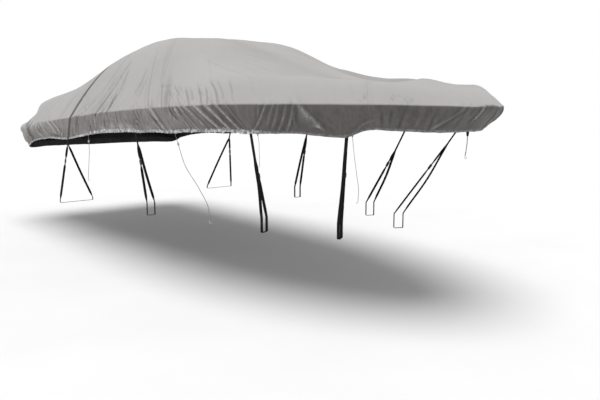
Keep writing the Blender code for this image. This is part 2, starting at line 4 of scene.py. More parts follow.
import bpy
import numpy as np
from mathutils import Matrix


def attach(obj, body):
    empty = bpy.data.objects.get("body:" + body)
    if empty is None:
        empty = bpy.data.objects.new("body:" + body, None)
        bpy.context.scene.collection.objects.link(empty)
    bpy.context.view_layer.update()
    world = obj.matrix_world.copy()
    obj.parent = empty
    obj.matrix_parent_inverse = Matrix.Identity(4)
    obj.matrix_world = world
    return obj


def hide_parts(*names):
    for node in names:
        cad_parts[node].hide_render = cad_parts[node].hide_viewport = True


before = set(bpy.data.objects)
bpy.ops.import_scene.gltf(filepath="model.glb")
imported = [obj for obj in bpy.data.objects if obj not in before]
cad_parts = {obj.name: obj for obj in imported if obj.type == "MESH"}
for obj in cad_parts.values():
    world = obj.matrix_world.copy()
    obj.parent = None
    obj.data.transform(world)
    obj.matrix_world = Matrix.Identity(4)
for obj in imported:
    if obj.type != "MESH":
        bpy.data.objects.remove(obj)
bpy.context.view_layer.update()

# ---------------------------------------------------------------- the cover's section lines
# One row for each section line, from the middle of the stern round the side to the stem.
#   rail_x, half_beam, rail_z   where the line crosses the rub rail
#   spine_x, spine_z            where the line meets the centreline
#   shoulder, shoulder_z        fraction of the way out to the rail, and the height there
#   gunwale, rise               the same for the gunwale, as a height above the rub rail
#   tuck, hem_z                 how far the hem is drawn in under the rail, and its height
#   flare                       how far the skirt bells out just under the rail
#   rake                        how far forward the skirt's threads run on their way down
Section = namedtuple(
    "Section",
    "rail_x half_beam rail_z spine_x spine_z shoulder shoulder_z gunwale rise tuck hem_z flare rake")
SECTIONS = (
    Section(-0.58, 0.000, 1.300, 0.42, 1.690, 0.50, 1.660, 0.86, 0.270, 0.03, 0.990, 0.05, 0.00),
    Section(-0.58, 0.450, 1.300, 0.47, 1.700, 0.50, 1.665, 0.86, 0.270, 0.03, 0.990, 0.05, 0.00),
    Section(-0.55, 0.820, 1.300, 0.55, 1.720, 0.50, 1.670, 0.86, 0.265, 0.02, 0.985, 0.08, 0.00),
    Section(-0.42, 1.050, 1.300, 0.66, 1.775, 0.50, 1.690, 0.87, 0.245, 0.00, 0.980, 0.12, 0.00),
    Section(-0.13, 1.135, 1.310, 0.82, 1.830, 0.52, 1.740, 0.88, 0.225, 0.03, 1.050, 0.06, -0.08),
    Section(0.50, 1.165, 1.355, 1.08, 1.945, 0.56, 1.845, 0.89, 0.185, 0.05, 1.130, 0.01, -0.14),
    Section(1.42, 1.180, 1.420, 1.42, 2.065, 0.58, 2.010, 0.90, 0.175, 0.05, 1.180, 0.00, -0.16),
    Section(2.10, 1.185, 1.470, 1.62, 2.125, 0.58, 2.085, 0.90, 0.160, 0.07, 1.275, 0.00, -0.06),
    Section(2.80, 1.185, 1.510, 1.84, 2.165, 0.58, 2.135, 0.90, 0.155, 0.09, 1.315, 0.00, 0.00),
    Section(3.52, 1.165, 1.540, 2.12, 2.225, 0.60, 2.105, 0.90, 0.155, 0.09, 1.325, 0.00, 0.00),
    Section(4.10, 1.100, 1.555, 2.68, 2.240, 0.60, 1.990, 0.90, 0.155, 0.10, 1.345, 0.00, 0.00),
    Section(4.65, 0.980, 1.560, 3.42, 2.075, 0.60, 1.800, 0.90, 0.165, 0.11, 1.355, 0.00, 0.00),
    Section(5.15, 0.810, 1.565, 4.18, 1.845, 0.60, 1.720, 0.90, 0.145, 0.12, 1.340, 0.00, 0.00),
    Section(5.55, 0.610, 1.565, 4.82, 1.735, 0.60, 1.695, 0.90, 0.115, 0.13, 1.370, 0.00, 0.00),
    Section(5.79, 0.400, 1.560, 5.08, 1.735, 0.60, 1.705, 0.90, 0.080, 0.14, 1.370, 0.02, 0.00),
    Section(5.92, 0.200, 1.560, 5.25, 1.745, 0.60, 1.695, 0.90, 0.060, 0.16, 1.375, 0.02, 0.00),
    Section(5.97, 0.000, 1.560, 5.36, 1.755, 0.60, 1.675, 0.90, 0.050, 0.18, 1.380, 0.02, 0.00),
)
MIRRORED_ROWS = 3           # rows repeated past each end
CROWN_RAIL_X = 3.88         # the section line whose spine point is the crown of the cover
CAD_SHEET = 0.002           # thickness of the CAD's cloth
FLARE_SPREAD = 1.35         # the flare has closed again at 1 / 1.35 of the skirt's depth
TUCK_POWER = 1.3
TOP_GIRTH = 1.25            # cloth length that one unit of reach stands for, on the top
SKIRT_GIRTH = 0.25          # and on the skirt
PANELS = ("panel_stern", "panel_aft", "panel_fore", "panel_bow")

# Seams: where they cross the rub rail, how dark their tape and the painted shade beside it are, how
# much they pucker, and how far they lean forward on their way down
Seam = namedtuple("Seam", "rail_x mark pucker lean")
SEAMS = (Seam(1.40, 0.95, 1.0, -0.045), Seam(3.40, 0.06, 0.3, 0.0), Seam(5.45, 0.03, 0.15, 0.0))

SIDES = ("starboard", "port")


def tangents(step, slope):
    """Slope of a smooth curve at each stop, from the gaps and the slopes beside it."""
    inner = [(slope[k - 1] * step[k] + slope[k] * step[k - 1]) / (step[k - 1] + step[k])
             for k in range(1, len(step))]
    return [slope[0], *inner, slope[-1]]


def smooth_curve(stops, values, where):
    """Cubic curve through (stops, values), with the slope at each stop taken from its neighbours."""
    where = np.asarray(where, float)
    step = np.diff(stops)
    tangent = np.array(tangents(step, np.diff(values) / step))
    k = np.clip(np.searchsorted(stops, where, side="right") - 1, 0, len(stops) - 2)
    return hermite((where - stops[k]) / step[k], step[k], values[k], values[k + 1],
                   tangent[k], tangent[k + 1])


def hermite(t, step, low, high, low_slope, high_slope):
    return ((2 * t**3 - 3 * t**2 + 1) * low + (t**3 - 2 * t**2 + t) * step * low_slope
            + (3 * t**2 - 2 * t**3) * high + (t**3 - t**2) * step * high_slope)


def mirrored_table():
    """The section table with its end rows repeated across the centreline, one array a column."""
    rows = np.array(SECTIONS, float)
    aft = rows[1:MIRRORED_ROWS + 1][::-1].copy()
    fore = rows[-MIRRORED_ROWS - 1:-1][::-1].copy()
    for end in (aft, fore):
        end[:, Section._fields.index("half_beam")] *= -1
    return dict(zip(Section._fields, np.vstack([aft, rows, fore]).T.copy()))


TABLE = mirrored_table()
RUNS = np.concatenate([[0.0], np.cumsum(np.hypot(np.diff(TABLE["rail_x"]),
                                                 np.diff(TABLE["half_beam"])))])
RUNS -= RUNS[MIRRORED_ROWS]
STEM_RUN = RUNS[-MIRRORED_ROWS - 1]


def column(name, run):
    return smooth_curve(RUNS, TABLE[name], run)


def run_at(rail_x):
    """Distance along the rub rail, from the middle of the stern, to where it reaches rail_x."""
    side = slice(MIRRORED_ROWS + 2, len(RUNS) - MIRRORED_ROWS)
    return float(np.interp(rail_x, TABLE["rail_x"][side], RUNS[side]))


def outward(run):
    """Level unit vector out of the rub rail, as x and starboard parts."""
    step = 1e-4
    along_x = column("rail_x", run + step) - column("rail_x", run - step)
    along_b = column("half_beam", run + step) - column("half_beam", run - step)
    length = np.hypot(along_x, along_b)
    return -along_b / length, along_x / length


def top_height(run, reach):
    """Height of the cloth between spine (reach 0) and rub rail (reach 1)."""
    rail_z = column("rail_z", run)
    shoulder = column("shoulder", run)
    stops = (-shoulder, 0 * run, shoulder, column("gunwale", run), 0 * run + 1)
    heights = (column("shoulder_z", run), column("spine_z", run), column("shoulder_z", run),
               rail_z + column("rise", run), rail_z)
    step = [high - low for low, high in zip(stops, stops[1:])]
    slope = [(high - low) / gap for low, high, gap in zip(heights, heights[1:], step)]
    tangent = tangents(step, slope)
    height = np.zeros_like(reach)
    for k in (1, 2, 3):
        piece = hermite((reach - stops[k]) / step[k], step[k], heights[k], heights[k + 1],
                        tangent[k], tangent[k + 1])
        height = np.where((reach >= stops[k]) & (reach <= stops[k + 1]), piece, height)
    return height


def cover_point(run, reach):
    """Point of the smooth cover: reach 0 at the spine, 1 at the rub rail and 2 at the hem."""
    run, reach = np.broadcast_arrays(np.asarray(run, float), np.asarray(reach, float))
    out_x, out_b = outward(run)
    across = np.clip(reach, 0, 1)
    down = np.clip(reach - 1, 0, 1)
    belly = np.sin(np.pi * np.clip(down * FLARE_SPREAD, 0, 1))
    out = column("flare", run) * belly - column("tuck", run) * down**TUCK_POWER
    spine_x = column("spine_x", run)
    x = spine_x + (column("rail_x", run) - spine_x) * across + out_x * out
    x = x + column("rake", run) * down
    beam = column("half_beam", run) * across + out_b * out
    rail_z = column("rail_z", run)
    z = np.where(reach > 1, rail_z + (column("hem_z", run) - rail_z) * down,
                 top_height(run, across))
    return np.stack([x, -beam, z], axis=-1)


ORIGIN = cover_point(run_at(CROWN_RAIL_X), 0.0) - np.array([0.0, 0.0, CAD_SHEET])
FLIP = {"starboard": np.array([1.0, 1.0, 1.0]), "port": np.array([1.0, -1.0, 1.0])}
MIRROR = {"starboard": -1.0, "port": 1.0}       # which way each side lies along y


def unit(vector):
    vector = np.asarray(vector, float)
    return vector / np.maximum(np.linalg.norm(vector, axis=-1, keepdims=True), 1e-12)


def smoothstep(low, high, value):
    t = np.clip((value - low) / (high - low), 0, 1)
    return t * t * (3 - 2 * t)


def lengths_along(points):
    """Distance along a path to each of its points, or down each column of a grid of points."""
    steps = np.linalg.norm(np.diff(points, axis=0), axis=-1)
    return np.concatenate([0 * steps[:1], np.cumsum(steps, axis=0)])


# ---------------------------------------------------------------- camera
CAMERA_GROUND = np.array([8.50, -3.82, 1.575])     # on the ground the cover stands over
CAMERA_YAW = 140.0          # degrees from +x, seen from above
CAMERA_PITCH = -8.6
CAMERA_LENS = 38.4


def build_camera():
    data = bpy.data.cameras.new("camera")
    data.lens = CAMERA_LENS
    data.sensor_width = 36.0
    data.clip_end = 400.0
    camera = link("camera", data)
    camera.location = CAMERA_GROUND - ORIGIN
    camera.rotation_euler = (math.radians(90 + CAMERA_PITCH), 0.0, math.radians(CAMERA_YAW - 90))
    bpy.context.scene.camera = camera


# ---------------------------------------------------------------- materials
class Graph:
    """Short names for building one material's nodes."""

    def __init__(self, name, roughness, **sockets):
        self.material = bpy.data.materials.new(name)
        self.material.use_nodes = True
        self.tree = self.material.node_tree
        self.shader = self.tree.nodes["Principled BSDF"]
        self.shader.inputs["Roughness"].default_value = roughness
        for key, value in sockets.items():
            self.shader.inputs[key.replace("_", " ")].default_value = value

    def plug(self, value, socket):
        if isinstance(value, bpy.types.NodeSocket):
            self.tree.links.new(value, socket)
        else:
            socket.default_value = value

    def node(self, kind, output, sockets=(), **settings):
        """Output of a new node, with its settings and its input sockets filled."""
        node = self.tree.nodes.new("ShaderNode" + kind)
        for key, value in settings.items():
            setattr(node, key, value)
        for key, value in sockets:
            self.plug(value, node.inputs[key])
        return node.outputs[output]

    def place(self):
        return self.node("TexCoord", "Object")

    def attribute(self, name, output="Fac"):
        return self.node("Attribute", output, attribute_name=name)

    def math(self, operation, first, second=0.0, third=0.0):
        return self.node("Math", 0, enumerate((first, second, third)), operation=operation)

    def times(self, first, second):
        return self.math("MULTIPLY", first, second)

    def ripple(self, value, pitch):
        """Sine wave of the value, from -1 to 1."""
        return self.math("SINE", self.times(value, TWO_PI / pitch))

    def stretched(self, vector, x, y, z):
        return self.node("VectorMath", 0, ((0, vector), (1, (x, y, z))), operation="MULTIPLY")

    def noise(self, vector, scale, detail, roughness, distortion=0.0):
        return self.node("TexNoise", "Fac", (
            ("Vector", vector), ("Scale", scale), ("Detail", detail), ("Roughness", roughness),
            ("Distortion", distortion)))

    def spread(self, value, low, high, to_low=0.0, to_high=1.0):
        return self.node("MapRange", "Result", (
            ("Value", value), ("From Min", low), ("From Max", high), ("To Min", to_low),
            ("To Max", to_high)))

    def blotches(self, vector, scale, detail, roughness, low, high):
        return self.spread(self.noise(vector, scale, detail, roughness), low, high)

    def mix(self, share, first, second, blend="MIX"):
        first, second = (colour if isinstance(colour, bpy.types.NodeSocket) else (*colour, 1.0)
                         for colour in (first, second))
        return self.node("Mix", 2, ((0, share), (6, first), (7, second)), data_type="RGBA",
                         blend_type=blend)

    def split(self, vector):
        return self.node("SeparateXYZ", slice(0, 2), ((0, vector),))

    def bump(self, height, distance, strength, normal=None):
        sockets = [("Height", height), ("Distance", distance), ("Strength", strength)]
        if normal is not None:
            sockets.append(("Normal", normal))
        return self.node("Bump", "Normal", sockets)

    def finish(self, colour, roughness, normal):
        for key, value in (("Base Color", colour), ("Roughness", roughness), ("Normal", normal)):
            self.plug(value, self.shader.inputs[key])
        return self.material


WEAVE_PITCH = 0.0014        # from thread to thread
STITCH_PITCH = 0.005
STITCH_INSET = 0.0055       # from the seam to its stitches
RIB_PITCH = 0.0022          # of the webbing
BRAID_PITCH = 0.25          # of the cord, as a share of a turn
TWO_PI = 2 * math.pi


def woven(graph, cloth):
    """Height of a plain weave, from 0 to 1, over cloth coordinates in metres."""
    warp, weft = (graph.ripple(value, WEAVE_PITCH) for value in graph.split(cloth))
    return graph.math("MULTIPLY_ADD", graph.times(warp, weft), 0.5, 0.5)


# the top is paler than the skirt partly by sun fading and mostly as painted shade of the skirt
TOP_PALE = (0.318, 0.312, 0.308)
TOP_DUSTY = (0.296, 0.290, 0.284)
SKIRT_PALE = (0.236, 0.222, 0.216)
SKIRT_DARK = (0.186, 0.173, 0.168)
FORE_SKIRT_SHADE = (0.44, 0.43, 0.44)     # painted shade that darkens the skirt forward of the crown
# painted highlight and painted shade of the hem's crumpled casing
HEM_HIGHLIGHT = (0.90, 0.90, 0.92)
HEM_SHADE = (0.24, 0.24, 0.25)
SEAM_TAPE_AND_SHADE = (0.070, 0.068, 0.068)
THREAD = (0.30, 0.30, 0.31)
TOP_DUST = (0.334, 0.328, 0.322)
SKIRT_RAIN = (0.292, 0.276, 0.266)
SKIRT_GRIME = (0.120, 0.110, 0.108)
SPECK = (0.20, 0.19, 0.18)
PAINTED_SHADE_TINT = (0.40, 0.385, 0.38)
PAINTED_HIGHLIGHT = (0.48, 0.47, 0.465)


def cloth_material():
    """Coated polyester with dust, rain streaks and a weave; its skirt darker than its top by sun
    fading of the top and painted shade of the skirt, with painted shade in its creases and painted
    highlights on its ridges and hem.
    """
    graph = Graph("cover_cloth", 0.85, Sheen_Weight=0.08, Sheen_Roughness=0.6,
                  Specular_IOR_Level=0.25)
    place = graph.place()
    cloth = graph.attribute("cloth", "Vector")
    patches = graph.blotches(place, 1.6, 4, 0.55, 0.34, 0.66)
    dust = graph.blotches(place, 11, 6, 0.62, 0.36, 0.66)
    streaks = graph.blotches(graph.stretched(place, 16, 16, 1.6), 1.0, 4, 0.6, 0.40, 0.66)
    specks = graph.blotches(place, 70, 3, 0.6, 0.58, 0.72)
    top = graph.mix(patches, TOP_DUSTY, TOP_PALE)
    top = graph.mix(graph.times(dust, 0.30), top, TOP_DUST)
    skirt = graph.mix(patches, SKIRT_DARK, SKIRT_PALE)
    skirt = graph.mix(graph.times(streaks, 0.55), skirt, SKIRT_RAIN)
    fine_streaks = graph.blotches(graph.stretched(place, 42, 42, 5), 1.0, 3, 0.6, 0.42, 0.64)
    skirt = graph.mix(graph.times(fine_streaks, 0.30), skirt, SKIRT_GRIME)
    # painted shade, darkening the skirt toward the bow
    skirt = graph.mix(graph.attribute("fresh"), skirt, FORE_SKIRT_SHADE, "MULTIPLY")
    # mixes skirt and top colours: the skirt's darker colour is painted shade, the top's paler one
    # partly sun fading
    colour = graph.mix(graph.attribute("fade"), skirt, top)
    colour = graph.mix(graph.times(specks, 0.10), colour, SPECK)
    # painted shade in the creases and where the tables place it
    colour = graph.mix(graph.attribute("painted_shade"), colour, PAINTED_SHADE_TINT, "MULTIPLY")
    grain = graph.spread(graph.noise(place, 38, 4, 0.65), 0.36, 0.60, 0.30, 1.0)
    # painted highlight on the skirt's ridges and where the tables place it
    colour = graph.mix(graph.times(graph.attribute("painted_highlight"), grain), colour, PAINTED_HIGHLIGHT)
    # the hem's casing near white as painted highlight, broken by painted shade between its crumples
    hem_light_and_shade = graph.blotches(place, 36, 4, 0.7, 0.43, 0.56)
    colour = graph.mix(graph.attribute("hem"), colour, graph.mix(hem_light_and_shade, HEM_SHADE, HEM_HIGHLIGHT))
    # dark seam tape, widened into painted shade along the seam
    colour = graph.mix(graph.attribute("tape_and_shade"), colour, SEAM_TAPE_AND_SHADE)
    # the row of stitches on each seam's lap: across is the distance forward of the seam
    across, along = graph.split(graph.attribute("seam", "Vector"))
    beside = graph.math("ABSOLUTE", graph.math("SUBTRACT", across, STITCH_INSET))
    row = graph.spread(beside, 0.0004, 0.0010, 1.0, 0.0)
    dash = graph.spread(graph.ripple(along, STITCH_PITCH), -0.5, -0.1)
    stitch = graph.times(row, dash)
    colour = graph.mix(graph.times(stitch, 0.8), colour, THREAD)
    roughness = graph.spread(dust, 0, 1, 0.76, 0.92)
    crumple = graph.noise(place, 34, 4, 0.55, 0.6)
    normal = graph.bump(crumple, 0.0022, 0.55)
    normal = graph.bump(woven(graph, cloth), 0.00012, 0.5, normal)
    normal = graph.bump(stitch, 0.0005, 0.8, normal)
    return graph.finish(colour, roughness, normal)


def lining_material():
    """The coated inner side of the cloth: smoother and without weather marks, and near black, partly
    from its darker coating and partly as painted shade of the cover's inside.
    """
    graph = Graph("cover_lining", 0.7, Specular_IOR_Level=0.15)
    place = graph.place()
    cloth = graph.attribute("cloth", "Vector")
    blotch = graph.blotches(place, 3.0, 4, 0.6, 0.35, 0.65)
    # near black: a darker coating and painted shade of the cover's inside
    colour = graph.mix(blotch, (0.030, 0.030, 0.031), (0.046, 0.045, 0.045))
    normal = graph.bump(graph.noise(place, 40, 3, 0.5), 0.0015, 0.4)
    normal = graph.bump(woven(graph, cloth), 0.00008, 0.4, normal)
    return graph.finish(colour, graph.spread(blotch, 0, 1, 0.52, 0.66), normal)


def webbing_material():
    """Black woven webbing: ribs across its length, two edge cords and a little road dust, darker
    than its own black as painted shade of the cover above it.
    """
    graph = Graph("black_webbing", 0.8, Sheen_Weight=0.015, Sheen_Roughness=0.5,
                  Specular_IOR_Level=0.12)
    place = graph.place()
    across, along = graph.split(graph.attribute("cloth", "Vector"))
    chevron = graph.math("MULTIPLY_ADD", graph.math("PINGPONG", across, 0.004), 0.8, along)
    rib = graph.ripple(chevron, RIB_PITCH)
    edge = graph.spread(graph.math("ABSOLUTE", across), 0.0095, 0.0112)
    dust = graph.blotches(place, 26, 5, 0.65, 0.48, 0.75)
    # near black: the webbing's own black, darkened further as painted shade
    colour = graph.mix(graph.spread(rib, -1, 1), (0.003, 0.003, 0.0035), (0.009, 0.009, 0.0095))
    colour = graph.mix(graph.times(dust, 0.10), colour, (0.060, 0.057, 0.052))
    colour = graph.mix(graph.times(edge, 0.3), colour, (0.018, 0.018, 0.019))
    height = graph.math("ADD", graph.spread(rib, -1, 1), graph.times(edge, 1.2))
    normal = graph.bump(height, 0.0004, 0.8)
    return graph.finish(colour, graph.spread(dust, 0, 1, 0.66, 0.88), normal)


def moulded_material(name, dark, pale, roughness):
    """Moulded plastic with a fine spark-eroded grain, scuffs and dust."""
    graph = Graph(name, roughness)
    place = graph.place()
    scuff = graph.blotches(graph.stretched(place, 1, 1, 0.3), 160, 4, 0.7, 0.55, 0.75)
    dust = graph.blotches(place, 45, 4, 0.6, 0.45, 0.75)
    colour = graph.mix(graph.times(scuff, 0.5), dark, pale)
    colour = graph.mix(graph.times(dust, 0.18), colour, (0.16, 0.15, 0.14))
    normal = graph.bump(graph.noise(place, 900, 2, 0.5), 0.00010, 0.5)
    return graph.finish(colour, graph.spread(scuff, 0, 1, roughness, roughness + 0.22), normal)


def cord_material():
    """Braided sleeve of a thin elastic cord, with a little grime."""
    graph = Graph("grey_cord", 0.8, Sheen_Weight=0.2)
    place = graph.place()
    along, turn = graph.split(graph.node("TexCoord", "UV"))
    strands = [graph.ripple(graph.math("MULTIPLY_ADD", along, lay, turn), BRAID_PITCH)
               for lay in (60.0, -60.0)]
    braid = graph.math("MAXIMUM", *strands)
    grime = graph.blotches(place, 30, 4, 0.6, 0.4, 0.7)
    colour = graph.mix(graph.spread(braid, 0, 1), (0.10, 0.10, 0.105), (0.24, 0.24, 0.25))
    colour = graph.mix(graph.times(grime, 0.3), colour, (0.13, 0.12, 0.11))
    normal = graph.bump(braid, 0.0004, 0.7)
    return graph.finish(colour, graph.spread(grime, 0, 1, 0.7, 0.9), normal)


def wire_material():
    """Dull zinc on steel wire, with a darker oxide in patches."""
    graph = Graph("galvanised_wire", 0.4, Metallic=1.0)
    place = graph.place()
    patch = graph.blotches(place, 190, 4, 0.6, 0.4, 0.65)
    colour = graph.mix(patch, (0.60, 0.61, 0.62), (0.40, 0.40, 0.40))
    normal = graph.bump(graph.noise(place, 1200, 2, 0.5), 0.00008, 0.5)
    return graph.finish(colour, graph.spread(patch, 0, 1, 0.34, 0.58), normal)


# ---------------------------------------------------------------- mesh helpers
def link(name, data):
    item = bpy.data.objects.new(name, data)
    bpy.context.scene.collection.objects.link(item)
    return item


def declare(item, node):
    """Says what the piece rides on and which node it takes the place of."""
    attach(item, "root")
    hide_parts(node)
    return item


def mesh_object(name, vertices, faces, material, smooth_angle=None):
    mesh = bpy.data.meshes.new(name)
    mesh.from_pydata([tuple(map(float, v)) for v in vertices], [], faces)
    mesh.materials.append(material)
    mesh.shade_smooth()
    if smooth_angle is not None:
        mesh.set_sharp_from_angle(angle=math.radians(smooth_angle))
    return link(name, mesh)


def skin(rings):
    """Quads from each ring of vertex numbers to the next, and from the last one to the first."""
    size = len(rings[0])
    return [[low[k], low[(k + 1) % size], high[(k + 1) % size], high[k]]
            for low, high in zip(rings, rings[1:] + rings[:1]) for k in range(size)]


def ring_numbers(rings, size):
    """Vertex numbers of rings laid one after another."""
    return np.arange(rings * size).reshape(rings, size).tolist()


def add_attribute(mesh, name, values):
    """values holds one number, or one vector of three, a vertex."""
    values = np.asarray(values, np.float32)
    kind, field = ("FLOAT", "value") if values.ndim == 1 else ("FLOAT_VECTOR", "vector")
    mesh.attributes.new(name, kind, "POINT").data.foreach_set(field, values.ravel())


# ---------------------------------------------------------------- folds of the cloth
# Each fold is a line on the cloth from (run, drop) to (end_run, end_drop). bow is how far its
# middle stands aside, width the half width of its crest, height its lift (a trough where it is
# negative), and start and end the share of that lift at its two ends.
Fold = namedtuple("Fold", "run drop end_run end_drop bow width height start end")

